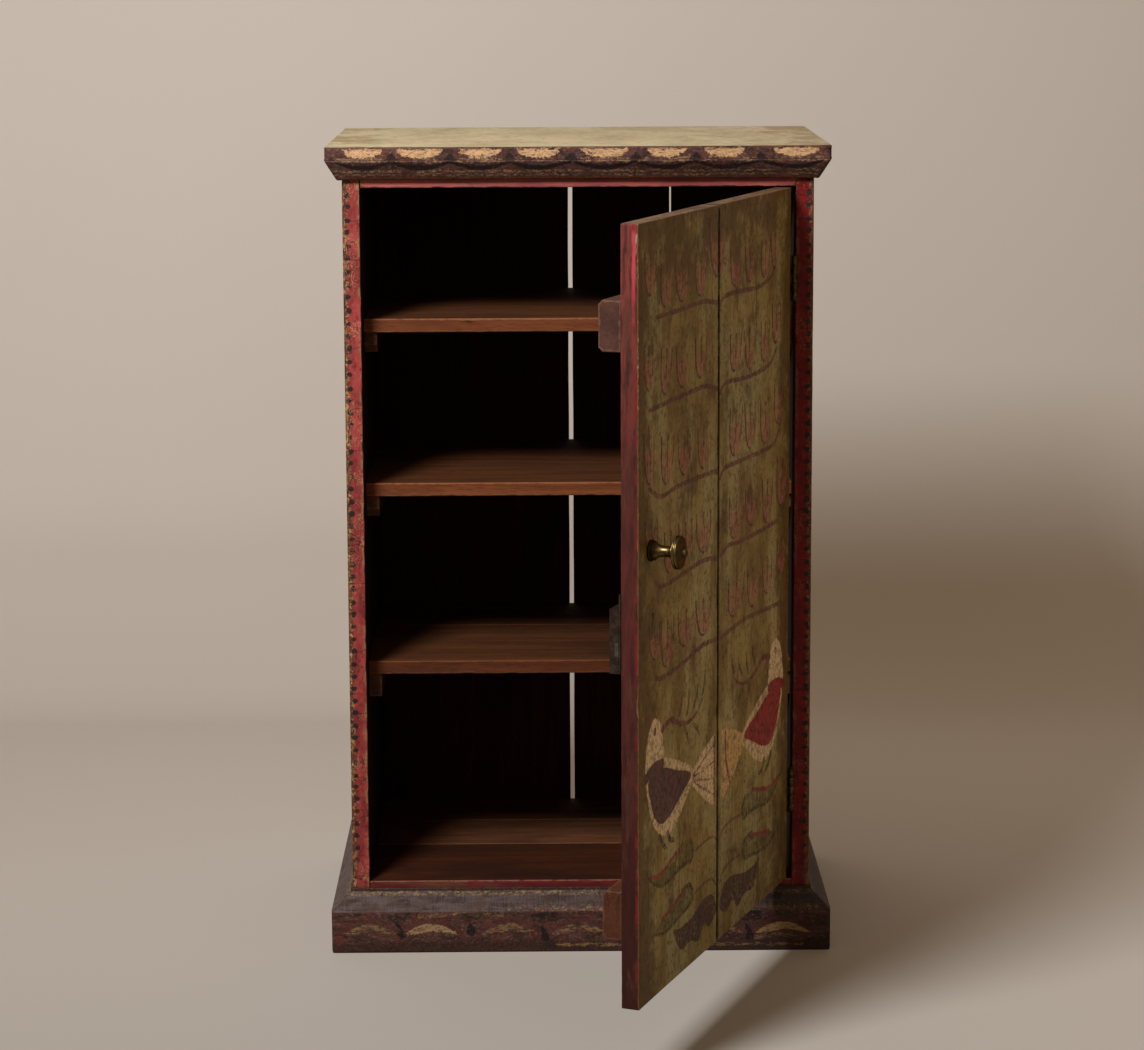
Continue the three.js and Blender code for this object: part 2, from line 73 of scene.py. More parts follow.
def add_camera():
    data = bpy.data.cameras.new("camera")
    data.sensor_width = SENSOR_WIDTH
    data.lens = FOCAL_PIXELS / PHOTO_WIDTH * SENSOR_WIDTH
    data.shift_y = (AXIS_ROW - PHOTO_HEIGHT / 2) / PHOTO_WIDTH
    camera = linked("camera", data)
    turn = Matrix.Rotation(math.radians(CAMERA_YAW), 4, "Z")
    tilt = Matrix.Rotation(math.radians(90 - CAMERA_PITCH), 4, "X")
    roll = Matrix.Rotation(math.radians(CAMERA_ROLL), 4, "Z")
    camera.matrix_world = Matrix.Translation(CAMERA_PLACE) @ turn @ tilt @ roll
    bpy.context.scene.camera = camera


add_camera()


def srgb(red, green, blue):
    """A colour written from 0 to 255, as the linear one that the nodes take."""
    shares = np.array([red, green, blue]) / 255
    linear = np.where(shares <= 0.04045, shares / 12.92, ((shares + 0.055) / 1.055) ** 2.4)
    return (*(float(c) for c in linear), 1.0)


# Smooth noise for shapes

def waves(points, size, seed, count=12):
    """Smooth noise, mostly from -1 to 1, at (n, 3) points, with bumps about size across."""
    rng = np.random.default_rng(seed)
    direction = rng.normal(size=(count, 3))
    direction /= np.linalg.norm(direction, axis=1)[:, None]
    frequency = math.tau / (2 * size) * rng.uniform(0.6, 1.5, count)
    phase = rng.uniform(0, math.tau, count)
    return np.sin(points @ (direction * frequency[:, None]).T + phase).sum(1) / math.sqrt(count)


# Solids drawn along a line from an outline. In an outline (u, v) go round against the clock, and the line
# is w. The columns of an axis table say which of x, y and z are u, v and w.
ALONG_X = (1, 2, 0)
ALONG_Z = (0, 1, 2)
ARC_STEPS = 3
CAP_SHARE = 0.55
INSET_SHARE = 0.3
RING_ANGLES = (0, 0.6, 1.1, math.pi / 2)
WEAR_SIZE = 20 * MM
FINE_SIZE = 6 * MM
LEAST_RADIUS = 0.1 * MM


def outline_points(outline, spacing, margin):
    """The points of an outline as rows: sharp place (2), move per unit of corner radius (2), outward
    normal (2), distance to the nearest corner, number of the side."""
    count = len(outline)
    corners = [np.array(c, float) for c in outline]
    rows = []
    for i, corner in enumerate(corners):
        before = corner - corners[i - 1]
        after = corners[(i + 1) % count] - corner
        length = np.linalg.norm(after)
        before /= np.linalg.norm(before)
        after /= length
        turn = math.atan2(before[0] * after[1] - before[1] * after[0], before @ after)
        normal = np.array([before[1], -before[0]])
        if turn > 0:
            pull = -before * math.tan(turn / 2) - normal
            for j in range(ARC_STEPS + 1):
                angle = turn * j / ARC_STEPS
                cosine, sine = math.cos(angle), math.sin(angle)
                turned_normal = np.array([cosine * normal[0] - sine * normal[1],
                                          sine * normal[0] + cosine * normal[1]])
                rows.append((*corner, *(pull + turned_normal), *turned_normal, 0, i))
        else:
            middle = normal + np.array([after[1], -after[0]])
            rows.append((*corner, 0, 0, *(middle / np.linalg.norm(middle)), 0, i))
        inset = min(margin, length * INSET_SHARE)
        step = spacing[i] if isinstance(spacing, (list, tuple)) else spacing
        pieces = max(1, math.ceil((length - 2 * inset) / step))
        for j in range(pieces + 1):
            along = inset + (length - 2 * inset) * j / pieces
            rows.append((*(corner + after * along), 0, 0, after[1], -after[0], min(along, length - along), i))
    return np.array(rows)


def rings(start, end, step, rounding):
    """Along the line: (place, inset) of each ring, with a cap ring first and last."""
    arc = [(rounding * (1 - math.sin(t)), rounding * (1 - math.cos(t))) for t in RING_ANGLES]
    pieces = max(1, math.ceil((end - start - 2 * rounding) / step))
    middle = [start + rounding + (end - start - 2 * rounding) * j / pieces for j in range(1, pieces)]
    first = [(start + out, inset) for inset, out in arc]
    last = [(end - out, inset) for inset, out in reversed(arc)]
    return [first[0], *first, *((w, 0) for w in middle), *last, last[-1]]


def solid(outline, start, end, axes=ALONG_Z, spacing=8 * MM, step=8 * MM, radius=1.2 * MM, chip=0.5,
          rounding=1 * MM, dent=0.25 * MM, dent_size=60 * MM, margin=3 * MM, seed=1):
    """A closed worn solid as a dict: points, faces, side of each face, distance to the nearest arris,
    and the grain's own coordinates."""
    rows = outline_points(outline, spacing, margin)
    places = rings(start, end, step, rounding)
    count, total = len(rows), len(places)
    w = np.repeat([p[0] for p in places], count)
    inset = np.repeat([p[1] for p in places], count)
    flat = np.tile(rows, (total, 1))
    sharp = np.column_stack([flat[:, 0], flat[:, 1], w])
    wear = np.clip(waves(sharp * [3, 3, 1], WEAR_SIZE, seed) - 0.4, 0, 2) ** 2
    fine = 1 + 0.25 * waves(sharp, FINE_SIZE, seed + 1)
    radii = np.broadcast_to(radius, len(outline))[flat[:, 7].astype(int)]
    corner = np.clip(radii * (fine + chip * wear), LEAST_RADIUS, margin)
    sunk = dent * (0.5 + 0.5 * np.clip(waves(sharp * [1, 1, 0.4], dent_size, seed + 2), -1, 1))
    sunk[flat[:, 6] < margin * 0.5] *= 0.5
    uv = flat[:, :2] + flat[:, 2:4] * corner[:, None] - flat[:, 4:6] * (inset + sunk)[:, None]
    for ring in (0, total - 1):
        part = slice(ring * count, (ring + 1) * count)
        centre = uv[part].mean(0)
        uv[part] = centre + (uv[part] - centre) * CAP_SHARE
    arris = np.minimum(flat[:, 6], np.minimum(w - start, end - w))
    inner = np.linalg.norm(uv[:count] - uv[count:2 * count], axis=1)
    arris[:count] = inner
    arris[-count:] = inner
    local = np.column_stack([uv, w])
    points = np.empty_like(local)
    points[:, axes] = local
    here = np.arange(count)
    after = (here + 1) % count
    base = (np.arange(total - 1) * count)[:, None]
    quads = np.stack([base + here, base + after, base + count + after, base + count + here], axis=2)
    faces = quads.reshape(-1, 4).tolist()
    faces.append(list(range(count))[::-1])
    faces.append(list(range((total - 1) * count, total * count)))
    sides = np.tile(rows[:, 7].astype(int), total - 1)
    sides[:count] = -1
    sides[-count:] = -1
    sides = np.concatenate([sides, [-1, -1]])
    return {"points": points, "faces": faces, "sides": sides, "arris": arris, "grain": local}


def round_steps(sides):
    """Unit points round a circle, as rows."""
    steps = np.arange(sides) * math.tau / sides
    return np.column_stack([np.cos(steps), np.sin(steps)])


def turned(profile, at, direction, sides=48):
    """A turned solid whose (radius, height) points start and end on the axis."""
    inner = np.array(profile[1:-1], float)
    ring = round_steps(sides)
    points = [np.column_stack([ring * r, np.full(sides, h)]) for r, h in inner]
    points = np.vstack([*points, [[0, 0, profile[0][1]], [0, 0, profile[-1][1]]]])
    turn = Vector((0, 0, 1)).rotation_difference(Vector(direction)).to_matrix()
    here = np.arange(sides)
    after = (here + 1) % sides
    faces = []
    for low in range(0, (len(inner) - 1) * sides, sides):
        high = low + sides
        faces += np.column_stack([low + here, low + after, high + after, high + here]).tolist()
    first, last = len(points) - 2, len(points) - 1
    top = (len(inner) - 1) * sides
    faces += [[first, int(b), int(a)] for a, b in zip(here, after)]
    faces += [[last, top + int(a), top + int(b)] for a, b in zip(here, after)]
    return {"points": points @ np.array(turn).T + np.array(at), "faces": faces}


def joined(*parts):
    """Several closed solids as one mesh."""
    made = {"points": np.vstack([p["points"] for p in parts]), "faces": [], "sides": []}
    start = 0
    for part in parts:
        made["faces"] += [[start + v for v in face] for face in part["faces"]]
        made["sides"] += list(part.get("sides", [0] * len(part["faces"])))
        start += len(part["points"])
    return made


# The door is shaped closed, in the case's own place, and then turned to where it hangs at rest
swing = next(j for j in frame["joints"] if j["name"] == "door_swing")
OPEN = Matrix.Rotation(math.radians(-swing["range_deg"][0]), 4, "Z")
PIN = Vector(swing["pos_m"])
OPENED = Matrix.Translation(PIN) @ OPEN @ Matrix.Translation(-PIN)


def moved(points, matrix):
    turn = np.array(matrix.to_3x3())
    return points @ turn.T + np.array(matrix.translation)


def node_points(node, body="case"):
    """The points of a node of the frame, with the door closed if it is the door's."""
    points = np.array([v.co for v in frame["nodes"][node].data.vertices], float)
    return points if body == "case" else moved(points, OPENED.inverted())


def closed_box(node):
    """Lowest and highest corner of a door node with the door closed."""
    points = node_points(node, "door")
    return points.min(0), points.max(0)


def case_box(node):
    low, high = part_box(node)
    return np.array(low), np.array(high)


def store(mesh, name, values, kind="FLOAT", field="value"):
    attribute = mesh.attributes.new(name, kind, "POINT")
    attribute.data.foreach_set(field, np.asarray(values, np.float32).ravel())


def piece(name, shape, body, materials, nodes=(), smooth=True, layers=None, looks=None):
    """Makes an object of a solid, on a body of the frame. A door piece comes closed and is turned open.
    looks gives the material number of each side of the outline, and of the ends last."""
    home = Matrix.Identity(4) if body == "case" else OPENED
    mesh = bpy.data.meshes.new(name)
    mesh.from_pydata(moved(shape["points"], home).tolist(), [], shape["faces"])
    for material in materials:
        mesh.materials.append(material)
    if looks:
        mesh.polygons.foreach_set("material_index", [looks[s] for s in shape["sides"]])
    ends = np.array(shape.get("sides", [0] * len(shape["faces"]))) == -1
    mesh.polygons.foreach_set("use_smooth", smooth & ~ends)
    shift = np.random.default_rng(len(name) * 7 + sum(map(ord, name))).uniform(0, 3, 3)
    store(mesh, "place", shape["points"], "FLOAT_VECTOR", "vector")
    store(mesh, "grain", shape.get("grain", shape["points"]) + shift, "FLOAT_VECTOR", "vector")
    if "arris" in shape:
        store(mesh, "arris", shape["arris"])
    for layer, values in (layers or {}).items():
        store(mesh, layer, values)
    mesh.update()
    made = linked(name, mesh)
    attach(made, body)
    if nodes:
        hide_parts(*nodes)
    return made


# Painted figures. Their places are kept as distances from each point of a mesh, negative inside, and the
# materials turn them into brush strokes.

def smooth_line(points, closed=False, steps=6):
    """A smooth curve through points."""
    points = np.array(points, float)
    count = len(points)
    found = []
    for i in range(count if closed else count - 1):
        places = [i + k for k in (-1, 0, 1, 2)]
        a, b, c, d = (points[p % count if closed else min(max(p, 0), count - 1)] for p in places)
        for t in np.arange(steps) / steps:
            found.append(0.5 * (2 * b + (c - a) * t + (2 * a - 5 * b + 4 * c - d) * t ** 2
                                + (3 * b - a - 3 * c + d) * t ** 3))
    if not closed:
        found.append(points[-1])
    return np.array(found)


class Canvas:
    """The painted layers of a face, at (n, 2) points in millimetres."""

    def __init__(self, points, names):
        self.points = points / MM
        self.layers = {name: np.full(len(points), FAR) for name in names}

    def near(self, line, margin=14):
        inside = (self.points > line.min(0) - margin) & (self.points < line.max(0) + margin)
        return np.nonzero(inside.all(1))[0]

    def put(self, layer, index, distance):
        values = self.layers[layer]
        values[index] = np.minimum(values[index], distance * MM)

    @staticmethod
    def distance(points, start, end):
        """Distance to each piece of a line, and how far along it the nearest point is."""
        along = end - start
        reach = points[:, None] - start
        share = np.clip((reach * along).sum(2) / np.maximum((along ** 2).sum(1), TINY), 0, 1)
        gap = reach - share[..., None] * along
        return np.sqrt((gap ** 2).sum(2)), share

    def stroke(self, layer, points, width, tip=None):
        """A brush stroke of a width that runs evenly to the tip's width."""
        line = smooth_line(points)
        index = self.near(line)
        if not len(index):
            return
        gap, share = self.distance(self.points[index], line[:-1], line[1:])
        best = gap.argmin(1)
        rows = np.arange(len(index))
        along = (best + share[rows, best]) / (len(line) - 1)
        half = (width + ((width if tip is None else tip) - width) * along) / 2
        self.put(layer, index, gap[rows, best] - half)

    def fill(self, layer, points, sharp=False):
        """A closed shape."""
        line = np.array(points, float) if sharp else smooth_line(points, closed=True)
        index = self.near(line)
        if not len(index):
            return
        spots = self.points[index]
        start, end = line, np.roll(line, -1, axis=0)
        gap = self.distance(spots, start, end)[0].min(1)
        above = (start[:, 1] > spots[:, 1:2]) != (end[:, 1] > spots[:, 1:2])
        rise = np.where(np.abs(end[:, 1] - start[:, 1]) < TINY, TINY, end[:, 1] - start[:, 1])
        cross = start[:, 0] + (spots[:, 1:2] - start[:, 1]) * (end[:, 0] - start[:, 0]) / rise
        inside = (above & (spots[:, 0:1] < cross)).sum(1) % 2 == 1
        self.put(layer, index, np.where(inside, -gap, gap))


# Node materials. Sizes in them are in millimetres, and so are places, by way of the length of a millimetre.

class Term:
    """A number or colour that nodes work out. It takes part in sums as plain numbers do."""

    def __init__(self, finish, socket):
        self.finish = finish
        self.socket = socket

    def math(self, operation, other=0.0):
        return self.finish.add("Math", {0: self, 1: other}, operation=operation)

    def __add__(self, other):
        return self.math("ADD", other)

    def __sub__(self, other):
        return self.math("SUBTRACT", other)

    def __mul__(self, other):
        return self.math("MULTIPLY", other)

    def __truediv__(self, other):
        return self.math("DIVIDE", other)

    def __or__(self, other):
        return self.math("MAXIMUM", other)

    def __abs__(self):
        return self.math("ABSOLUTE")

    def step(self, low, high):
        """0 below low, 1 above high, smooth between them. High may be below low."""
        inputs = {"Value": self, "From Min": low, "From Max": high}
        return self.finish.add("MapRange", inputs, interpolation_type="SMOOTHSTEP")


class Finish:
    """Builds one node material, from a colour that later coats are laid on."""

    def __init__(self, name, metallic=0.0, specular=0.2):
        self.material = bpy.data.materials.new(name)
        self.material.use_nodes = True
        self.tree = self.material.node_tree
        self.shader = self.tree.nodes["Principled BSDF"]
        self.colour = None
        self.feed(self.shader.inputs["Metallic"], metallic)
        self.feed(self.shader.inputs["Specular IOR Level"], specular)

    def feed(self, socket, value):
        if isinstance(value, Term):
            self.tree.links.new(value.socket, socket)
        else:
            socket.default_value = value

    def add(self, kind, inputs=(), output=0, **settings):
        node = self.tree.nodes.new("ShaderNode" + kind)
        for key, value in settings.items():
            setattr(node, key, value)
        for key, value in dict(inputs).items():
            self.feed(node.inputs[key], value)
        return Term(self, node.outputs[output])

    def value(self, name):
        return self.add("Attribute", output="Fac", attribute_name=name)

    def place(self, name="place"):
        """Stored coordinates by name, or the object's own."""
        if name == "object":
            return self.add("TexCoord", output="Object")
        return self.add("Attribute", output="Vector", attribute_name=name)

    def axis(self, letter, name="place"):
        return self.add("SeparateXYZ", {0: self.place(name)}, output=letter)

    def vector(self, name, stretch):
        return self.add("VectorMath", {0: self.place(name), 1: stretch}, operation="MULTIPLY")

    def noise(self, name, stretch, size, detail=3, rough=0.55, twist=0.0):
        """Noise from 0 to 1 in the named coordinates, with bumps about size across."""
        inputs = {"Vector": self.vector(name, stretch), "Scale": 1 / (size * MM), "Detail": detail,
                  "Roughness": rough, "Distortion": twist}
        return self.add("TexNoise", inputs, output="Fac")

    def cracks(self, name, stretch, size, width):
        """1 on thin lines around cells about size across."""
        size = size * MM
        start = self.vector(name, stretch)
        warp = self.add("TexNoise", {"Vector": start, "Scale": 2 / size, "Detail": 4}, output="Color")
        bent = self.add("VectorMath", {0: warp, 1: (size * 0.8,) * 3, 2: start}, operation="MULTIPLY_ADD")
        edge = self.add("TexVoronoi", {"Vector": bent, "Scale": 1 / size}, output="Distance",
                        feature="DISTANCE_TO_EDGE")
        return edge.step(width, 0)

    def mix(self, share, first, second):
        return self.add("Mix", {0: share, 6: first, 7: second}, output=2, data_type="RGBA")

    def dark(self, colour, share, depth):
        """A colour darkened by up to depth where share is 1."""
        return self.mix(share * depth, colour, (0, 0, 0, 1))

    def start(self, share, first, second):
        self.colour = self.mix(share, first, second)

    def lay(self, share, colour):
        """A coat of a colour over what is there."""
        self.colour = self.mix(share, self.colour, colour)

    def shade(self, share, depth):
        self.colour = self.dark(self.colour, share, depth)

    def worn(self, size, reach, low=0.42, high=0.5):
        """1 where the paint is rubbed through near an arris."""
        reach = reach * MM
        ragged = self.noise("grain", (1, 1, 0.35), size, 4, 0.65) * (reach * 2)
        return (ragged - self.value("arris")).step(reach * 2 * low, reach * 2 * high)

    def done(self, roughness, height=None, distance=0.0, strength=1.0):
        """The material, with a bump of a distance in millimetres."""
        self.feed(self.shader.inputs["Base Color"], self.colour)
        self.feed(self.shader.inputs["Roughness"], roughness)
        if height is not None:
            inputs = {"Height": height, "Distance": distance * MM, "Strength": strength}
            self.feed(self.shader.inputs["Normal"], self.add("Bump", inputs))
        return self.material


def wood_grain(f, dark, light):
    """The colour and height of a wood grain along w: broad rings, fine streaks and pores."""
    broad = f.noise("grain", (1, 1, 0.06), 16, 4, 0.6, 0.8)
    streak = f.noise("grain", (1, 1, 0.03), 3.2, 4, 0.65)
    pores = f.noise("grain", (1, 1, 0.054), 0.9, 2, 0.5).step(0.56, 0.68)
    colour = f.mix((broad * 0.6 + streak * 0.4).step(0.32, 0.68), dark, light)
    return f.dark(colour, pores, 0.45), streak - pores * 0.6


def wood(name, dark, light, grime, edge=None, roughness=0.72):
    """Bare aged boards: grain, stains, and dirt or wear near the arrises."""
    f = Finish(name)
    f.colour, height = wood_grain(f, srgb(*dark), srgb(*light))
    stain = f.noise("grain", (1, 1, 0.4), 90, 4, 0.6)
    f.lay(stain.step(0.48, 0.72), srgb(*grime))
    if edge:
        ragged = f.value("arris") + f.noise("grain", (1, 1, 1), 7) * (6 * MM)
        f.lay(ragged.step(5.2 * MM, 2.6 * MM) * 0.8, srgb(*edge))
    f.lay(f.noise("grain", (1, 1, 1), 2.2, 3, 0.7).step(0.6, 0.8) * 0.22, srgb(*light))
    return f.done(stain * 0.22 + (roughness - 0.11), height, 0.5, 0.6)


def stroke_mask(f, layer, edge=0.5, ragged=1.8, fade=(0.3, 0.55), size=2.4, strength=1.0, spoke=None):
    """1 inside a painted layer, with a ragged edge and rubbed patches."""
    wobble = (f.noise("grain", (1, 1, 1), 3.4, 4, 0.65) - 0.5) * (ragged * MM * 2)
    if spoke:
        wobble = wobble + (spoke - 0.44) * (16 * MM)
    inside = (f.value(layer) + wobble).step(edge * MM, -edge * MM)
    return inside * f.noise("grain", (1, 1, 0.45), size, 4, 0.7).step(*fade) * strength


SCUFF = srgb(196, 170, 132)
DEEP = srgb(30, 19, 14)

# Places read from the frame
side_low, side_high = case_box("side_left")
half_width = float(-side_low[0])
front_plane = float(side_low[1])
plinth_low, plinth_high = case_box("plinth_front")
LIP_HEIGHT = 4 * MM
CHAMFER_TOP = float(plinth_high[2]) - LIP_HEIGHT
CHAMFER_RISE = 21 * MM
free_low, free_high = closed_box("door_board_free")
KNOB_SEAT = float(free_low[1])
JOINT = (float(free_high[0]) + float(closed_box("door_board_hinge")[0][0])) / 2

# Hairlines up the door boards, in millimetres: middle, foot and top
DOOR_CRACKS = ((137, 780, 1000), (-96, 550, 760), (-139, 90, 290), (153, 90, 360))
CRACK_END = 30 * MM

# What is painted on the door: layer, colour, how it is rubbed, strength, and how ragged it is in millimetres
DOOR_LAYERS = (
    ("rose", (190, 115, 97), (0.34, 0.6), 0.8, 1.8),
    ("stem", (120, 68, 62), (0.32, 0.52), 0.92, 2.4),
    ("leaf", (106, 92, 40), (0.34, 0.54), 0.8, 2.4),
    ("moss", (64, 57, 28), (0.34, 0.54), 0.85, 2.4),
    ("vein", (162, 56, 58), (0.32, 0.5), 0.9, 2.4),
    ("plum", (88, 52, 54), (0.32, 0.5), 0.94, 1.8),
    ("breast", (240, 208, 158), (0.34, 0.5), 0.95, 4.4),
    ("cream", (246, 214, 164), (0.3, 0.48), 0.95, 3.2),
    ("ochre", (226, 182, 118), (0.3, 0.48), 0.95, 3),
    ("quill", (126, 48, 50), (0.34, 0.5), 0.92, 2.2),
    ("dark", (97, 59, 56), (0.26, 0.42), 0.97, 1.8),
    ("red", (163, 22, 34), (0.26, 0.42), 0.95, 1.8),
    ("line", (62, 42, 42), (0.34, 0.52), 0.92, 1.8),
)


def door_face():
    """Olive paint with the painted garden over it."""
    f = Finish("door_face_paint")
    x, z = f.axis("X"), f.axis("Z")
    cloud = f.noise("grain", (0.6, 1, 0.6), 55, 8, 0.7)
    f.start(cloud.step(0.36, 0.64), srgb(127, 99, 43), srgb(174, 150, 86))
    pale = f.noise("place", (1.6, 1, 0.35), 100, 6, 0.6) + abs(x).step(200 * MM, 30 * MM) * 0.07
    fine = f.noise("grain", (0.9, 1, 0.85), 6, 7, 0.74)
    f.lay(pale.step(0.47, 0.64) * fine.step(0.34, 0.52) * 0.62, srgb(188, 177, 124))
    brown = f.noise("place", (1.1, 1, 0.7), 50, 7, 0.7)
    brown = brown + (abs(x).step(200 * MM, 275 * MM) | z.step(900 * MM, 990 * MM)) * 0.2
    f.lay(brown.step(0.5, 0.68) * 0.8, srgb(99, 68, 26))
    for layer, tint, fade, strength, ragged in DOOR_LAYERS:
        mask = stroke_mask(f, layer, ragged=ragged, fade=fade, strength=strength)
        f.lay(mask, f.dark(srgb(*tint), fine.step(0.56, 0.38), 0.42))
    f.shade(f.noise("grain", (1, 1, 0.04), 3.4, 5, 0.7).step(0.52, 0.7), 0.1)
    year_rings = f.noise("place", (1, 1, 0.05), 22, 3, 0.5, 0.6) * 9
    year_rings = abs(year_rings.math("FRACT") - 0.5).step(0.16, 0.02)
    f.shade(year_rings * cloud.step(0.42, 0.56), 0.3)
    f.shade(fine.step(0.5, 0.36), 0.36)
    f.shade(f.noise("place", (1, 1, 0.8), 24, 8, 0.75).step(0.52, 0.64), 0.3)
    f.shade(z.step(300 * MM, 100 * MM), 0.28)
    pits = f.noise("grain", (1, 1, 0.8), 3.2, 4, 0.7).step(0.65, 0.7) * 0.7
    cracks = door_cracks(f, x, z) | f.cracks("grain", (1, 1, 0.55), 14, 0.035) * pale.step(0.5, 0.42) * 0.6
    joint = abs(x - JOINT) + fine * (1 * MM)
    marks = pits | cracks | joint.step(5 * MM, 3.8 * MM) * 0.85
    f.lay(marks * 0.85, DEEP)
    f.lay(f.worn(6, 5) * 0.8, f.mix(fine, srgb(66, 42, 26), srgb(128, 88, 56)))
    f.lay(f.worn(3, 1.5, 0.54, 0.66) * z.step(550 * MM, 850 * MM) * 0.6, SCUFF)
    return f.done(cloud * 0.25 + 0.5, fine * 0.6 - marks, 0.5, 0.8)


def door_cracks(f, x, z):
    wander = (f.noise("place", (0.001, 1, 1), 50, 3) - 0.5) * (5 * MM)
    found = None
    for at, low, high in DOOR_CRACKS:
        gap = abs(x + wander - at * MM).step(0.8 * MM, 0.25 * MM)
        length = z.step(low * MM, low * MM + CRACK_END) * z.step(high * MM, high * MM - CRACK_END)
        found = gap * length if found is None else found | gap * length
    return found


# Tulips in millimetres, with the door closed: middle from the case's middle, foot from the floor, width, height
TULIPS = (
    (-236, 915, 36, 46), (-186, 896, 38, 46), (-128, 897, 42, 46), (-68, 897, 38, 46),
    (59, 895, 40, 44), (115, 895, 34, 40), (169, 895, 34, 42), (209, 903, 30, 40),
    (-241, 808, 28, 48), (-187, 797, 36, 48), (-129, 797, 36, 46), (-66, 800, 40, 44),
    (57, 792, 42, 42), (115, 787, 36, 46), (170, 790, 32, 46), (217, 807, 34, 46),
    (-236, 700, 36, 54), (-183, 692, 42, 52), (-121, 693, 40, 44), (-56, 690, 38, 46),
    (57, 688, 46, 54), (119, 687, 40, 54), (175, 685, 40, 50), (227, 703, 36, 48),
    (-229, 612, 40, 42), (-173, 587, 42, 44), (-118, 587, 46, 46), (-52, 588, 50, 46),
    (59, 585, 54, 50), (124, 590, 46, 44), (185, 582, 38, 52), (240, 595, 40, 56),
    (-220, 494, 34, 40), (-182, 477, 42, 52), (-118, 488, 54, 40), (-51, 487, 50, 42),
    (60, 487, 60, 46), (131, 485, 44, 46), (188, 490, 38, 44), (240, 507, 36, 42),
    (-4, 913, 58, 66),
)
# The runners under each row of tulips, on the free and on the hinge board
STEMS = (
    ((-215, 888), (-140, 888), (-60, 889), (-8, 882)),
    ((3, 880), (18, 887), (60, 888), (140, 885), (190, 892), (208, 903)),
    ((-240, 785), (-140, 787), (-50, 787), (-8, 778)),
    ((3, 772), (24, 782), (110, 778), (190, 783), (217, 800)),
    ((-241, 695), (-200, 680), (-140, 683), (-25, 680), (-8, 676)),
    ((3, 668), (24, 678), (120, 677), (205, 678), (228, 695)),
    ((-220, 583), (-190, 574), (-60, 578), (-8, 572)),
    ((5, 572), (34, 580), (75, 577), (155, 576), (225, 577)),
    ((-226, 482), (-210, 468), (-140, 468), (-62, 475), (-3, 472)),
    ((7, 470), (40, 473), (107, 475), (175, 471), (240, 468)),
)
# A tulip as shares of its width and height
CUP_SHARES = ((-0.5, 1.05), (-0.48, 0.6), (-0.4, 0.25), (-0.2, 0.03), (0, -0.02), (0.2, 0.03), (0.4, 0.25),
              (0.48, 0.6), (0.5, 1.05), (0.36, 0.78), (0.22, 0.62), (0.1, 0.74), (0, 0.92), (-0.1, 0.74),
              (-0.22, 0.62), (-0.36, 0.78))
SHADED_SIDE_SHARES = ((-0.5, 1.08), (-0.48, 0.62), (-0.41, 0.28), (-0.24, 0.06), (-0.02, 0))
FAR_SIDE_SHARES = ((0.5, 1.04), (0.48, 0.66), (0.42, 0.36))
STAMEN_SHARES = ((0, 0.34), (0.02, 0.6), (0, 0.9))
TIP_SHARES = (0, 0.98)


def paint_tulip(canvas, x, foot, width, height, number):
    lean = 0.12 * math.sin(number * 2.3)

    def at(shares):
        return [(x + width * (sx + lean * sy), foot + height * sy) for sx, sy in shares]

    canvas.fill("rose", at(CUP_SHARES))
    canvas.stroke("plum", at(SHADED_SIDE_SHARES), 4.2 + math.sin(number * 1.3), 3)
    if number % 3 != 1:
        canvas.stroke("plum", at(FAR_SIDE_SHARES), 3, 2.4)
    canvas.stroke("line" if number % 3 else "plum", at(STAMEN_SHARES), 2.4, 3.2)
    (tip_x, tip_z), = at([TIP_SHARES])
    canvas.stroke("stem", [(tip_x, tip_z), (tip_x + 1, tip_z + 2)], 6)


# One folk bird as points in millimetres, for the free board, facing out with its head turned back. The
# hinge board has it mirrored.
HEAD = ((-248, 362), (-250, 386), (-241, 411), (-222, 424), (-203, 414), (-195, 392), (-196, 366))
BREAST = ((-249, 362), (-240, 322), (-220, 292), (-184, 274), (-146, 282), (-112, 304), (-88, 320),
          (-96, 334), (-130, 350), (-170, 364), (-208, 372))
WING = ((-243, 352), (-222, 361), (-190, 358), (-150, 345), (-98, 327), (-138, 308), (-168, 296), (-198, 292),
        (-222, 306), (-236, 330))
COLLAR = ((-250, 359), (-224, 366), (-196, 365))
TAIL = ((-98, 328), (-60, 344), (-12, 356), (-12, 264), (-56, 286), (-98, 314))
FEATHERS = (((-92, 323), (-52, 334), (-16, 343)), ((-90, 321), (-50, 320), (-16, 322)),
            ((-90, 318), (-52, 308), (-16, 300)), ((-92, 316), (-56, 298), (-16, 280)))
FREE_CREST = ((-14, 352), (-15, 310), (-14, 266))
HINGE_CREST = ((-26, 348), (-30, 310), (-44, 280))
TAIL_BAND = ((-16, 352), (-18, 268))
BEAK = ((-197, 405), (-182, 409), (-166, 410))
EYE = ((-222, 408), (-221, 409))
LEGS = (((-204, 278), (-196, 268), (-184, 260)), ((-178, 276), (-170, 266), (-158, 262)))
SPRIG = ((-166, 410), (-140, 399), (-108, 393), (-78, 398), (-56, 411))
# Leaves of the sprig: foot, and angle in degrees
SPRIG_LEAVES = ((-140, 410, 66), (-114, 404, 74), (-88, 408, 60), (-58, 416, 74), (-122, 388, -58),
                (-90, 386, -42))
SPRIG_LEAF_LENGTH = 27
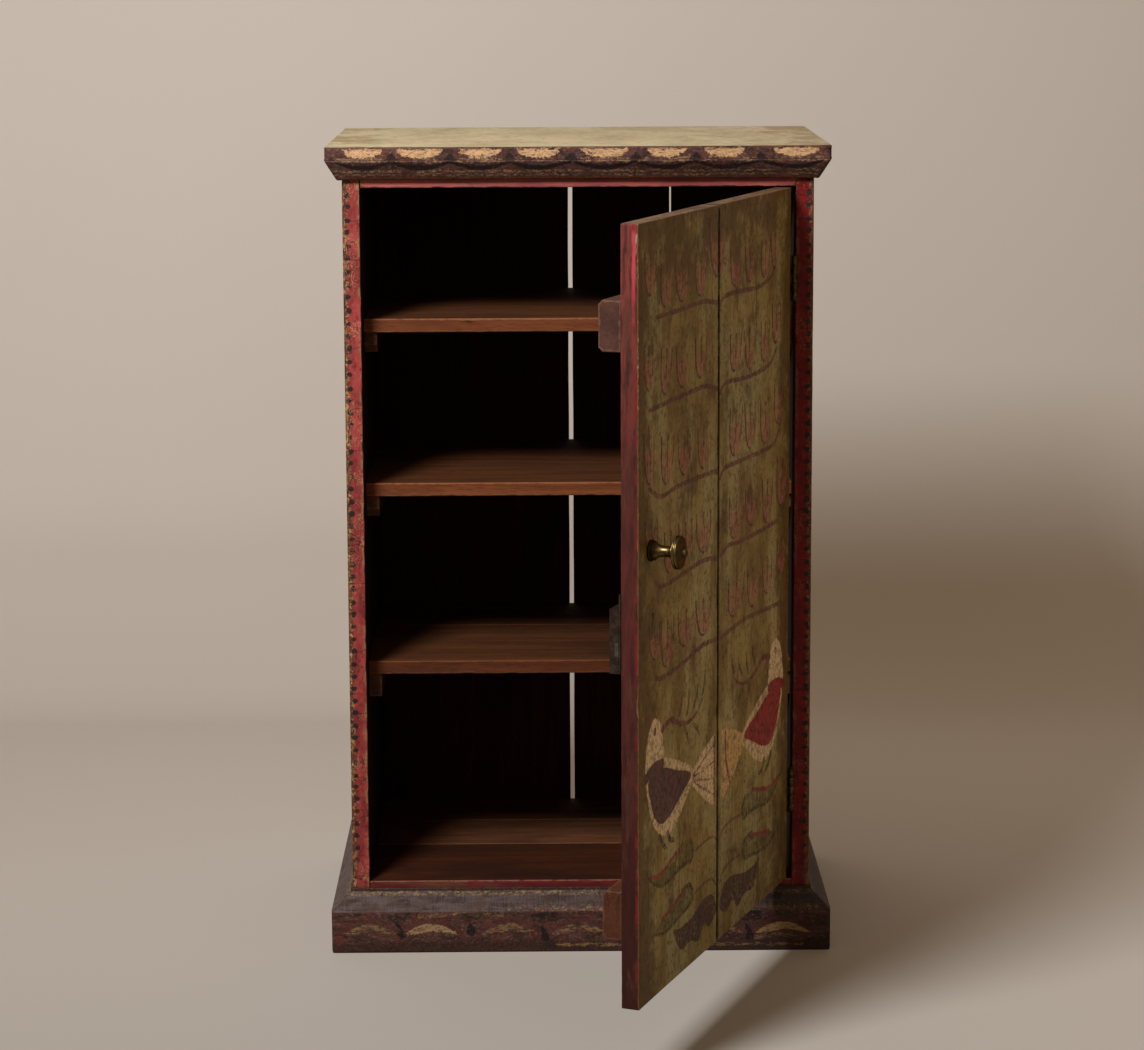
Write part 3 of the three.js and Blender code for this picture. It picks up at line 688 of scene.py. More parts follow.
# Long leaves: tip, belly and round end, then the vein in it
LEAVES = (
    ((-244, 240), (-222, 226), (-190, 216), (-150, 220), (-118, 222), (-98, 220), (-90, 232), (-100, 246),
     (-124, 250), (-156, 244), (-200, 236)),
    ((-224, 166), (-192, 158), (-156, 160), (-124, 164), (-98, 168), (-92, 180), (-104, 192), (-130, 192),
     (-160, 184), (-196, 176)),
)
BELLY_POINTS = 8
VEINS = (((-236, 238), (-204, 233), (-166, 240), (-128, 249)), ((-198, 176), (-162, 182), (-124, 190)))
RUNNERS = (((-82, 228), (-46, 230), (-20, 228), (-4, 219)), ((-86, 176), (-46, 178), (-22, 175), (-5, 162)))
MOUND = ((-160, 152), (-138, 147), (-96, 149), (-54, 158), (-24, 156), (-7, 141), (-10, 126), (-34, 118),
         (-54, 127), (-74, 112), (-102, 121), (-134, 120))


def paint_half(canvas, side, wing, tail):
    """The bird, its sprig and the leaves under it on one board."""
    def flip(points):
        return [(-side * x, z) for x, z in points]

    canvas.fill("cream", flip(HEAD))
    canvas.fill("breast", flip(BREAST))
    canvas.fill(tail, flip(TAIL), sharp=True)
    canvas.fill(wing, flip(WING))
    canvas.stroke(wing, flip(COLLAR), 13, 11)
    if side < 0:
        for feather in FEATHERS:
            canvas.stroke("quill", flip(feather), 2.8, 2.2)
    else:
        canvas.stroke("cream", flip(TAIL_BAND), 7)
    canvas.stroke("quill", flip(FREE_CREST if side < 0 else HINGE_CREST), 5)
    canvas.stroke("quill", flip(BEAK), 9, 6)
    canvas.stroke("line", flip(EYE), 9)
    for leg in LEGS:
        canvas.stroke("line", flip(leg), 8, 6)
    canvas.stroke("stem", flip(SPRIG), 8, 3)
    for x, z, angle in SPRIG_LEAVES:
        lean = math.radians(angle)
        tip = (x + SPRIG_LEAF_LENGTH * math.cos(lean), z + SPRIG_LEAF_LENGTH * math.sin(lean))
        canvas.stroke("moss", flip([(x, z), ((x + tip[0]) / 2 + 3, (z + tip[1]) / 2), tip]), 7, 3)
    for leaf, vein in zip(LEAVES, VEINS):
        canvas.fill("leaf", flip(leaf))
        canvas.stroke("moss", flip(leaf[:BELLY_POINTS]), 4, 6)
        canvas.stroke("vein", flip(vein), 6, 5)
    for runner in RUNNERS:
        canvas.stroke("stem", flip(runner), 3.4)
    canvas.fill("plum", flip(MOUND))


def paint_door(points):
    """All layers of the door's face at closed (x, z) points."""
    canvas = Canvas(points, [row[0] for row in DOOR_LAYERS])
    for number, tulip in enumerate(TULIPS):
        paint_tulip(canvas, *tulip, number)
    for stem in STEMS:
        canvas.stroke("stem", stem, 5.6, 6.2)
    paint_half(canvas, -1, "dark", "cream")
    paint_half(canvas, 1, "red", "ochre")
    return canvas.layers


def door_edge():
    """The door's free edge: dull red that browns towards the foot, brighter along the outer arris."""
    f = Finish("door_edge_paint")
    bare, height = wood_grain(f, srgb(50, 28, 20), srgb(92, 54, 40))
    cloud = f.noise("grain", (1, 1, 0.15), 9, 7, 0.68)
    fine = f.noise("grain", (1, 1, 0.6), 3, 5, 0.7)
    z = f.axis("Z")
    f.start(cloud.step(0.35, 0.65), srgb(54, 21, 18), srgb(82, 34, 29))
    f.lay(z.step(620 * MM, 950 * MM) * cloud.step(0.36, 0.56) * 0.8, srgb(114, 50, 42))
    f.lay(z.step(500 * MM, 200 * MM) * 0.75, srgb(44, 14, 6))
    f.lay(f.noise("grain", (1, 1, 0.2), 14, 7, 0.68).step(0.5, 0.62) * 0.65, bare)
    outer = f.axis("Y") - KNOB_SEAT
    wobble = f.noise("place", (0, 0, 1), 34, 4) - 0.5
    middle = z.step(760 * MM, 900 * MM) * (3.2 * MM) + 2.8 * MM + wobble * (5 * MM)
    half = f.noise("place", (0, 0, 1), 24, 5) * (4 * MM) - 0.2 * MM
    stripe = (abs(outer - middle) - half).step(0.9 * MM, -0.6 * MM)
    broken = f.noise("place", (0, 0, 1), 60, 5).step(0.47, 0.56)
    top = z.step(840 * MM, 950 * MM) * z.step(994 * MM, 986 * MM)
    bright = f.mix(top, srgb(116, 27, 34), srgb(186, 58, 72))
    f.lay(stripe * (broken | top) * 0.85, f.dark(bright, fine, 0.3))
    outside = outer.step(4.6 * MM, 3.2 * MM)
    chipped = f.noise("grain", (1, 1, 0.5), 12, 5, 0.7).step(0.5, 0.56)
    f.lay(outside * z.step(900 * MM, 960 * MM) * chipped, srgb(132, 114, 98))
    stained = z.step(840 * MM, 900 * MM) * z.step(975 * MM, 955 * MM)
    f.lay(outside * stained * 0.75, srgb(58, 26, 24))
    f.lay(outer.step(1.4 * MM, 0.7 * MM) * fine.step(0.36, 0.5) * 0.75, srgb(120, 96, 68))
    f.lay(f.worn(5, 2.6, 0.5, 0.6) * 0.7, srgb(46, 26, 18))
    return f.done(0.62, height, 0.4, 0.7)


# The black dots of the stiles: from one to the next, and in from the outer arris
DOT_PITCH = 16.5 * MM
DOT_INSET = 9.7 * MM


def stile_paint(name, side, dark, light, flecked):
    """The painted front edge of a side board: red, with a mottled border outside and a row of black dots.
    Flecked is the share of the ochre that shows."""
    f = Finish(name)
    outer = f.axis("X") * -float(side) + half_width
    z = f.axis("Z")
    cloud = f.noise("grain", (1, 1, 0.35), 16, 8, 0.68)
    f.start(cloud.step(0.34, 0.66), srgb(*dark), srgb(*light))
    fleck = f.noise("place", (1, 1, 0.7), 5, 7, 0.75)
    f.lay(fleck.step(0.47, 0.37) * 0.75, srgb(76, 28, 26))
    f.lay(fleck.step(0.58, 0.66) * (0.55 * flecked), srgb(188, 112, 100))
    sway = f.noise("place", (0, 0, 1), 26, 2) * (6 * MM)
    border = (outer + sway + fleck * (8 * MM)).step(14.5 * MM, 12 * MM)
    f.lay(border * 0.85, srgb(92, 50, 36))
    mottle = f.noise("place", (1, 1, 0.75), 6.5, 4, 0.62, 1.6).step(0.5, 0.545) * border * cloud.step(0.34, 0.5)
    f.lay(mottle * (0.9 * flecked), f.mix(fleck.step(0.4, 0.6), srgb(122, 92, 48), srgb(190, 156, 104)))
    soot = f.noise("place", (1, 1, 0.6), 7, 5, 0.65)
    f.lay(border * soot.step(0.56, 0.62) * 0.85, srgb(40, 27, 24))
    turns = (z + f.noise("place", (0, 0, 1), 28, 2) * (12 * MM)) / DOT_PITCH
    rise = (turns.math("FRACT") - 0.5) * DOT_PITCH
    across = outer + sway - DOT_INSET
    gap = (rise * rise + across * across).math("SQRT") + (fleck - 0.5) * (6 * MM)
    f.lay(gap.step(3.9 * MM, 3.0 * MM) * z.step(100 * MM, 130 * MM) * 0.95, srgb(34, 26, 30))
    rubbed = f.noise("place", (1, 1, 0.4), 8, 6, 0.7).step(0.48, 0.56)
    f.lay(rubbed * outer.step(17 * MM, 21 * MM) * (0.9 * flecked), srgb(140, 104, 66))
    f.lay(f.worn(6, 2.6, 0.46, 0.56) * 0.85, srgb(58, 36, 26))
    squiggle = abs(f.noise("place", (1, 1, 0.6), 9, 3, 0.6, 2.4) - 0.5).step(0.022, 0.01)
    patch = f.noise("place", (1, 1, 1), 40, 3).step(0.5, 0.62)
    f.lay(squiggle * patch * (0.8 * flecked), srgb(184, 136, 96))
    lines = f.cracks("place", (0.35, 1, 1), 60, 0.008)
    f.lay(lines * 0.8, DEEP)
    return f.done(cloud * 0.2 + 0.5, fleck + mottle * 0.6 - lines, 0.5, 0.9)


def plain_red(name, dark, light, edge, reach):
    """Worn red paint over wood."""
    f = Finish(name)
    bare, grain = wood_grain(f, srgb(70, 42, 28), srgb(118, 78, 50))
    cloud = f.noise("grain", (1, 1, 0.35), 50, 8, 0.68)
    brush = f.noise("grain", (1, 1, 0.04), 3, 4, 0.65)
    f.start((cloud * 0.68 + brush * 0.32).step(0.4, 0.6), srgb(*dark), srgb(*light))
    f.lay(f.noise("grain", (1, 1, 0.25), 34, 5, 0.7).step(0.58, 0.66) * 0.8, bare)
    f.lay(f.noise("grain", (1, 1, 0.03), 1.6, 2).step(0.66, 0.72) * 0.5, bare)
    f.lay(f.worn(6, reach), srgb(*edge))
    return f.done(cloud * 0.25 + 0.48, grain * 0.4 + cloud * 0.4, 0.4, 0.6)


def top_paint():
    """Pale olive-cream paint on the top, thin and brown towards the ends."""
    f = Finish("top_face_paint")
    cloud = f.noise("grain", (0.5, 1, 0.8), 60, 8, 0.66)
    f.start(cloud.step(0.36, 0.64), srgb(178, 163, 128), srgb(198, 184, 148))
    fine = f.noise("grain", (0.4, 1, 0.7), 8, 6, 0.7)
    f.shade(fine.step(0.52, 0.36), 0.2)
    ends = abs(f.axis("X")).step(220 * MM, 310 * MM) * 0.15
    f.lay((f.noise("grain", (0.5, 1, 0.8), 34, 8, 0.7) + ends).step(0.55, 0.7) * 0.6, srgb(136, 110, 74))
    pits = f.noise("grain", (1, 1, 0.5), 4, 4, 0.65).step(0.68, 0.73)
    f.lay(pits * 0.5, srgb(104, 82, 56))
    f.lay(f.worn(7, 9, 0.4, 0.62) * 0.7, srgb(116, 92, 62))
    f.lay(f.worn(4, 3, 0.4, 0.52) * 0.85, srgb(72, 46, 38))
    return f.done(cloud * 0.2 + 0.55, fine - pits, 0.4, 0.7)


def dash_rows(f, heights):
    """Broken rows of the cream that shows through, at the given heights."""
    z = f.axis("Z") + (f.noise("place", (1, 1, 0.4), 9, 5) - 0.5) * (9 * MM)
    rows = abs(z - heights[0]).step(1.9 * MM, 0.9 * MM)
    for height in heights[1:]:
        rows = rows | abs(z - height).step(1.9 * MM, 0.9 * MM)
    dashes = f.noise("place", (0.7, 1, 1), 3, 5, 0.7).step(0.46, 0.54)
    return rows * dashes * f.noise("place", (1, 1, 0), 40, 4).step(0.36, 0.54)


# Dark mottled paint of the mouldings, coat over coat: coordinates, stretch, size, detail, roughness, from
# where to where it shows, strength and colour
TRIM_COATS = (
    ("place", (0.6, 1, 1), 9, 7, 0.74, 0.5, 0.6, 0.75, (92, 46, 35)),
    ("place", (0.8, 1, 1.2), 13, 7, 0.7, 0.52, 0.62, 0.6, (92, 68, 66)),
    ("grain", (1, 1, 0.7), 3, 6, 0.75, 0.48, 0.36, 0.85, (26, 17, 16)),
    ("grain", (1, 1, 0.7), 3, 6, 0.75, 0.55, 0.65, 0.62, (146, 100, 78)),
)


def trim_paint(name, layers=(), band=None, rays=(), rows=(), door_shadow_depth=0.0):
    """The mouldings' paint: layers of ornament, rows of dashes and worn arrises. The band is a browner one
    that fades in from one height to another. Rays fray the ornament outwards. The right end is darkened as
    painted shadow of the open door."""
    f = Finish(name)
    tone = f.noise("grain", (1, 1, 0.4), 12, 8, 0.72)
    fine = f.noise("grain", (1, 1, 0.7), 3, 6, 0.75)
    f.start(tone.step(0.36, 0.64), srgb(44, 28, 24), srgb(84, 55, 48))
    for *pattern, low, high, strength, tint in TRIM_COATS:
        f.lay(f.noise(*pattern).step(low, high) * strength, srgb(*tint))
    if band:
        low, high, tint = band
        ragged = f.axis("Z") + f.noise("grain", (1, 1, 0.2), 10, 5) * (6 * MM)
        f.lay(ragged.step(low, high) * 0.75, f.dark(srgb(*tint), fine.step(0.6, 0.4), 0.5))
    if rows:
        f.lay(dash_rows(f, rows) * 0.72, srgb(156, 124, 94))
    streak = f.noise("place", (0.3, 1, 1.4), 3.2, 5, 0.7)
    spoke = f.noise("ray", (1, 1, 1), 2.6, 5, 0.7) if rays else streak
    for layer, tint, fade, strength, ragged in layers:
        mask = stroke_mask(f, layer, 0.7, ragged, fade, 3.4, strength, spoke if layer in rays else None)
        tinted = f.dark(srgb(*tint), spoke.step(0.5, 0.4), 0.35)
        tinted = f.dark(tinted, streak.step(0.5, 0.4), 0.35)
        f.lay(mask, f.dark(tinted, fine.step(0.44, 0.34), 0.5))
    # Painted shadow of the open door over the right end.
    f.shade(f.axis("X").step(100 * MM, 240 * MM), door_shadow_depth)
    f.lay(f.worn(5, 4, 0.46, 0.58) * 0.6, srgb(98, 56, 42))
    return f.done(tone * 0.3 + 0.42, tone + fine, 0.6, 0.8)


def chamfer_paint():
    """The plinth's slope: bleached brown-purple with upright brush lines and cream dashes, and painted shadow
    of the open door at the right end.
    """
    f = Finish("plinth_slope_paint")
    x = f.axis("X")
    drop = f.axis("Z") - CHAMFER_TOP
    upright = f.noise("place", (1, 0.1, 0.1), 2.2, 6, 0.75)
    level = f.noise("place", (0.25, 1, 1), 8, 8, 0.74)
    f.start((upright * 0.55 + level * 0.45).step(0.4, 0.6), srgb(41, 29, 27), srgb(87, 69, 65))
    f.lay(x.step(50 * MM, -300 * MM) * level.step(0.4, 0.55) * 0.45, srgb(98, 82, 78))
    brown = f.noise("place", (0.5, 1, 1), 16, 8, 0.72)
    f.lay(brown.step(0.5, 0.64) * 0.7, srgb(68, 45, 35))
    pink = abs(drop + 18 * MM).step(1.4 * MM, 0.6 * MM) * x.step(-120 * MM, 0) * level.step(0.42, 0.52)
    f.lay(pink * 0.7, srgb(112, 52, 50))
    dashes = f.noise("place", (0.7, 1, 0.8), 3.4, 5, 0.7, 0.8)
    patch = f.noise("place", (0.3, 0, 0), 60, 4)
    top_line = drop.step(-6 * MM, -3 * MM) * dashes.step(0.48, 0.57) * patch.step(0.3, 0.46)
    low_line = drop.step(-13 * MM, -17 * MM) * dashes.step(0.51, 0.58) * patch.step(0.34, 0.46)
    flecks = top_line | low_line * x.step(-160 * MM, -40 * MM)
    f.lay(flecks * 0.8, srgb(142, 116, 78))
    f.lay(drop.step(-1 * MM, 1 * MM) * 0.8, srgb(50, 28, 24))
    f.lay(f.worn(5, 2.5, 0.5, 0.6) * 0.7, srgb(54, 33, 28))
    # Painted shadow of the open door over the right end.
    f.shade(x.step(100 * MM, 240 * MM), 0.4)
    return f.done(0.56, upright + flecks * 0.6, 0.4, 0.7)


def metal(name, dark, light, tarnish, low_rough, high_rough, size=9, metallic=1.0):
    """Old metal: blotches of tarnish, fine scratches and bright high spots."""
    f = Finish(name, metallic, 0.5)
    spot = f.noise("object", (1, 1, 1), size, 5, 0.62, 0.4)
    fine = f.noise("object", (1, 1, 1), size * 0.16, 3, 0.6)
    f.start(spot.step(0.36, 0.62), srgb(*light), srgb(*dark))
    f.lay(fine.step(0.52, 0.7) * 0.7, srgb(*tarnish))
    return f.done(spot.step(0.3, 0.7) * (high_rough - low_rough) + low_rough, fine, 0.15, 0.5)


def knob_brass():
    """Antique brass: bright where hands and cloths reach, nearly black at the base."""
    f = Finish("knob_brass", 1.0, 0.5)
    f.feed(f.shader.inputs["Specular Tint"], srgb(176, 144, 94))
    spot = f.noise("place", (1, 1, 1), 7, 6, 0.65, 0.4)
    fine = f.noise("place", (1, 1, 1), 1.4, 3, 0.6)
    rise = f.axis("Y") - KNOB_SEAT
    f.start(spot.step(0.34, 0.62), srgb(124, 104, 66), srgb(74, 60, 36))
    base = rise.step(-12 * MM, -5 * MM)
    f.lay(base * 0.85, srgb(40, 30, 17))
    face = rise.step(-36.6 * MM, -37.4 * MM)
    f.lay(face * 0.7, srgb(86, 74, 50))
    f.lay(fine.step(0.5, 0.68) * 0.6, srgb(58, 44, 24))
    return f.done(spot * 0.35 + 0.2 + (base | face) * 0.25, fine, 0.12, 0.5)


# Bare woods: dark and light of the grain, grime, worn arrises and roughness
WOODS = {
    # The inside woods are near-black: partly the case's own dark inside, partly painted shade of the closed-in
    # interior.
    "inside": ((24, 14, 10), (36, 22, 15), (20, 12, 9), None, 0.85),
    "inside_back": ((38, 14, 10), (60, 21, 15), (26, 12, 9), None, 0.85),
    "shelf_top": ((62, 33, 14), (92, 52, 24), (54, 29, 14), (104, 65, 36)),
    "shelf_edge": ((98, 49, 23), (126, 70, 35), (90, 45, 22), (136, 83, 48)),
    "low_shelf_edge": ((74, 35, 14), (98, 50, 22), (66, 31, 13), (108, 62, 33)),
    # The bottom's front board is painted darker, as painted shade, and its middle and back boards lighter, as
    # painted light further in.
    "bottom_front": ((48, 20, 5), (73, 34, 9), (42, 18, 6), (78, 40, 17)),
    "bottom_back": ((74, 42, 24), (108, 66, 40), (62, 36, 22), (112, 74, 48)),
    "old_board": ((120, 96, 72), (168, 142, 110), (94, 76, 58), (136, 110, 84)),
    "cleat": ((66, 38, 22), (96, 58, 34), (50, 30, 20), (108, 70, 44)),
    "upper_batten": ((62, 35, 27), (86, 53, 42), (50, 29, 24), (100, 72, 56)),
    "lower_batten": ((69, 36, 22), (92, 51, 30), (54, 29, 19), (98, 66, 46)),
    "door_inside": ((66, 44, 30), (108, 76, 52), (52, 36, 26), (124, 90, 62)),
    "door_joint": ((28, 19, 13), (46, 32, 22), (20, 14, 10)),
    "door_end": ((84, 60, 42), (124, 96, 72), (60, 44, 34), (140, 112, 88)),
}
WOOD = {name: wood(name + "_wood", *row) for name, row in WOODS.items()}
OUTSIDE = plain_red("case_side_paint", (92, 38, 32), (124, 56, 46), (120, 84, 56), 9)
RAIL = plain_red("rail_paint", (128, 58, 55), (162, 87, 79), (76, 42, 36), 4)
BOTTOM_EDGE = plain_red("bottom_edge_paint", (86, 22, 26), (110, 36, 36), (122, 78, 64), 1.2)
# The right stile's paint is a darker, deeper red with less ochre showing than the left's: painted shade of the
# open door.
STILE = {"left": stile_paint("stile_left_paint", -1, (115, 38, 37), (158, 62, 59), 0.95),
         "right": stile_paint("stile_right_shaded_paint", 1, (84, 9, 8), (117, 18, 17), 0.35)}
DOOR_FACE = door_face()
DOOR_EDGE = door_edge()
BRASS = metal("hinge_brass", (52, 40, 25), (94, 74, 42), (32, 24, 18), 0.35, 0.6, 6)
IRON = metal("lock_iron", (44, 36, 31), (80, 67, 56), (66, 40, 26), 0.35, 0.62, metallic=0.85)
BRIGHT_IRON = metal("worn_iron", (84, 80, 78), (124, 118, 112), (74, 52, 40), 0.3, 0.5)
NAIL_IRON = metal("nail_iron", (40, 34, 32), (66, 54, 48), (80, 44, 28), 0.5, 0.75, 4, 0.7)


def box_outline(low, high, axes):
    u, v = axes[:2]
    return [(low[u], low[v]), (high[u], low[v]), (high[u], high[v]), (low[u], high[v])]


def board(low, high, axes, **settings):
    """A worn board that fills a box, with its grain along the last axis."""
    along = axes[2]
    return solid(box_outline(low, high, axes), low[along], high[along], axes, **settings)


# Case
# Sides of a board's outline: along z they are front, right, back, left, and along x bottom, back, top,
# front. Looks give the material of each side, and last that of the ends.
SIDE_WEAR = {"spacing": [2.5 * MM, 16 * MM, 8 * MM, 16 * MM], "step": 9 * MM, "radius": 1.3 * MM, "chip": 0.9,
             "margin": 3.5 * MM, "seed": 11}
BACK_WEAR = {"spacing": 14 * MM, "step": 7 * MM, "radius": 0.8 * MM, "chip": 1.2, "dent": 0.9 * MM,
             "dent_size": 30 * MM, "seed": 21}
RAIL_WEAR = {"spacing": 3 * MM, "radius": 1 * MM, "chip": 0.8, "seed": 31}
SHELF_WEAR = {"spacing": 10 * MM, "radius": 1.6 * MM, "chip": 0.7, "dent": 0.6 * MM, "seed": 41}
BOTTOM_WEAR = {"radius": 1.4 * MM, "chip": 0.9, "dent": 0.5 * MM, "seed": 51}
CLEAT_WEAR = {"spacing": 14 * MM, "step": 4 * MM, "radius": 1 * MM, "chip": 0.6, "seed": 61}
BEARER_WEAR = {"spacing": 14 * MM, "step": 5 * MM, "seed": 67}
TOP_WEAR = {"spacing": [12 * MM, 5 * MM, 9 * MM, 2 * MM], "step": 2 * MM,
            "radius": [0.4 * MM, 1 * MM, 2 * MM, 2.2 * MM], "chip": 0.9, "rounding": 1.6 * MM,
            "dent": 0.5 * MM, "margin": 4 * MM, "seed": 71}
SIDE_LOOKS = {"left": (0, 2, 2, 1, 2), "right": (0, 1, 2, 2, 2)}
CORNER_RADIUS = 6 * MM
FRONT_DEPTH = 4 * MM


def numbered(wear, number):
    """The settings of one of several like boards, whose wear is never the same."""
    return {**wear, "seed": wear["seed"] + number}


def add_board(node, name, axes, wear, materials, looks=None):
    piece(name, board(*case_box(node), axes, **wear), "case", materials, [node], looks=looks)


def add_boards():
    for number, name in enumerate(("left", "right")):
        add_board(f"side_{name}", f"side_{name}_board", ALONG_Z, numbered(SIDE_WEAR, number),
                  [STILE[name], OUTSIDE, WOOD["inside"]], SIDE_LOOKS[name])
    for number, name in enumerate(("left", "middle", "right")):
        add_board(f"back_board_{name}", f"back_{name}_board", ALONG_Z, numbered(BACK_WEAR, number),
                  [WOOD["inside_back"], WOOD["old_board"]], (0, 1, 1, 1, 1))
    add_board("top_rail", "top_rail_board", ALONG_X, RAIL_WEAR, [RAIL, WOOD["inside"]],
              (0, 1, 1, 0, 1))
    for number, name in enumerate(("upper", "middle", "lower_front", "lower_back")):
        edge = WOOD["low_shelf_edge" if "lower" in name else "shelf_edge"]
        add_board(f"shelf_{name}", f"shelf_{name}_board", ALONG_X, numbered(SHELF_WEAR, number),
                  [WOOD["shelf_top"], edge], (0, 0, 0, 1, 0))
    for number, name in enumerate(("front", "middle", "back")):
        front = name == "front"
        add_board(f"bottom_board_{name}", f"bottom_board_{name}_worn", ALONG_X, numbered(BOTTOM_WEAR, number),
                  [WOOD["bottom_front" if front else "bottom_back"], BOTTOM_EDGE],
                  (0, 0, 0, int(front), 0))


def add_bars():
    """Cleats, whose lower front corner is cut where the frame's solid has it so, and bearers. Their grain
    runs from front to back."""
    bars = [(number, f"cleat_{key}_{side}") for number, key in enumerate(("upper", "middle", "lower"))
            for side in ("left", "right")]
    for number, node in bars:
        points = node_points(node)
        low, high = points.min(0), points.max(0)
        cut = float(points[points[:, 2] < low[2] + NEARLY][:, 1].min() - low[1])
        outline = [(low[1] + cut, low[2]), (high[1], low[2]), (high[1], high[2]), (low[1], high[2])]
        if cut > 0:
            outline.append((low[1], low[2] + cut))
        shape = solid(outline, low[0], high[0], ALONG_X, **numbered(CLEAT_WEAR, number))
        shape["grain"] = shape["grain"][:, [2, 1, 0]]
        piece(node + "_bar", shape, "case", [WOOD["cleat"]], [node])
    for side in ("left", "right"):
        shape = board(*case_box("bearer_" + side), ALONG_X, **BEARER_WEAR)
        shape["grain"] = shape["grain"][:, [2, 1, 0]]
        piece(f"bearer_{side}_bar", shape, "case", [WOOD["old_board"]], ["bearer_" + side])


# Scallops along the front of the top: middle and half width in millimetres, and their drop
SCALLOPS = ((-272, 26), (-200, 30), (-123, 27), (-50, 28), (34, 30), (112, 25), (185, 26), (275, 29))
SCALLOP_DROP = 13
SCALLOP_TOP = 1.8
PEAK_WIDTH = 11
PEAK_HEIGHT = 10
RAY_RADIUS = 14 * MM
RAY_SHARE = 0.2
middles = [middle for middle, half in SCALLOPS]
peaks = [(left + right) / 2 for left, right in zip(middles, middles[1:])]


def triangle(middle, foot, rise):
    return [(middle - PEAK_WIDTH, foot), (middle, foot + rise), (middle + PEAK_WIDTH, foot)]


def add_top():
    low, high = case_box("top_board")
    shape = board(low, high, ALONG_X, **TOP_WEAR)
    points = shape["points"]
    round_corners(points)
    canvas = Canvas(points[:, [0, 2]], ["cream", "line"])
    top = high[2] / MM - SCALLOP_TOP
    for middle, half in SCALLOPS:
        curve = [(middle + half * math.cos(a), top - SCALLOP_DROP * math.sin(a) ** 0.8)
                 for a in np.linspace(0, math.pi, 13)]
        canvas.fill("cream", curve, sharp=True)
    for peak in peaks:
        canvas.fill("line", triangle(peak, low[2] / MM - 1, PEAK_HEIGHT + 1), sharp=True)
    for values in canvas.layers.values():
        values[points[:, 1] > low[1] + FRONT_DEPTH] = FAR
    centres = np.array(middles) * MM
    nearest = centres[np.abs(points[:, 0][:, None] - centres).argmin(1)]
    across, down = points[:, 0] - nearest, top * MM - points[:, 2]
    rays = np.column_stack([np.arctan2(down, across) * RAY_RADIUS + nearest, np.hypot(across, down) * RAY_SHARE,
                            np.zeros(len(points))])
    fascia = trim_paint("fascia_paint", [("line", (24, 18, 20), (0.28, 0.42), 0.92, 2.6),
                                         ("cream", (208, 166, 122), (0.32, 0.46), 0.95, 3)],
                        rays=("cream",), rows=(float(low[2]) + 1.5 * MM,))
    made = piece("top_slab", shape, "case", [top_paint(), fascia, WOOD["inside"]], ["top_board"],
                 layers=canvas.layers, looks=(2, 1, 0, 1, 1))
    store(made.data, "ray", rays, "FLOAT_VECTOR", "vector")


def round_corners(points):
    """Rounds upright corners that stand out from the case by the same amount to the side and the front."""
    out_x = np.abs(points[:, 0]) - half_width
    out_y = front_plane - points[:, 1]
    reach = np.maximum(out_x, out_y)
    centre = reach - CORNER_RADIUS
    a, b = out_x - centre, out_y - centre
    length = np.hypot(a, b)
    mask = (a > 0) & (b > 0) & (length > CORNER_RADIUS) & (reach > 0)
    scale = np.where(mask, CORNER_RADIUS / np.maximum(length, TINY), 1)
    points[:, 0] = np.where(mask, np.sign(points[:, 0]) * (half_width + centre + a * scale), points[:, 0])
    points[:, 1] = np.where(mask, front_plane - centre - b * scale, points[:, 1])


MITRE_GAP = 0.3 * MM
MITRE_REACH = 40 * MM


def moulding(outline, start, end, mitre_start, mitre_end, **settings):
    """A moulding from an outline of (out, z) points, along x in front of the plane y = 0. A mitred end is
    sheared by each point's own distance out."""
    corners = [(-out, z) for out, z in outline][::-1]
    shape = solid(corners, start, end, ALONG_X, rounding=0.4 * MM, chip=0.9, dent=0.4 * MM, margin=2.5 * MM,
                  **settings)
    points = shape["points"]
    at_start = np.clip(1 - (points[:, 0] - start) / MITRE_REACH, 0, 1)
    at_end = np.clip(1 - (end - points[:, 0]) / MITRE_REACH, 0, 1)
    shear = -points[:, 1] - MITRE_GAP / 2
    points[:, 0] += mitre_end * shear * at_end - mitre_start * shear * at_start
    return shape


def add_mouldings(name, outline, materials, looks, radius, make_layers, seed):
    """The front piece with its ornament, and the two plain returns."""
    back_plane = float(case_box("top_board")[1][1])
    front = moulding(outline, -half_width, half_width, 1, 1, spacing=2.2 * MM, step=2 * MM, radius=radius,
                     seed=seed)
    front["points"][:, 1] += front_plane
    round_corners(front["points"])
    layers = make_layers(front["points"])
    piece(name + "_front_board", front, "case", materials, [name + "_front"], layers=layers,
          looks=looks)
    for side, label in ((-1, "left"), (1, "right")):
        span = (-back_plane, -front_plane, 0, 1) if side < 0 else (front_plane, back_plane, 1, 0)
        shape = moulding(outline, *span, spacing=6 * MM, step=6 * MM, radius=radius, seed=seed + 2 + side)
        turn = Matrix.Rotation(side * math.pi / 2, 4, "Z")
        shape["points"] = moved(shape["points"], Matrix.Translation((side * half_width, 0, 0)) @ turn)
        round_corners(shape["points"])
        far = {key: np.full(len(shape["points"]), FAR) for key in layers}
        piece(f"{name}_{label}_board", shape, "case", materials, [f"{name}_{label}"], layers=far,
              looks=looks)


# The swag under each scallop, in millimetres: how far out of the middle, and how far below the cornice's
# top. Its ends lie on the peaks between the scallops, or this far out at the two ends of the row.
SWAG_REACH = 34
SWAG_END_DROPS = (0.5, 3.5)
SWAG_TOP = ((-12, 6), (12, 6))
SWAG_FOOT = ((14, 11.5), (0, 13), (-14, 11.5))
SHADES = (((120, 18), (220, 17), (320, 17)), ((-300, 19), (-120, 20), (120, 18)))
SHADE_WIDTHS = (12, 5)


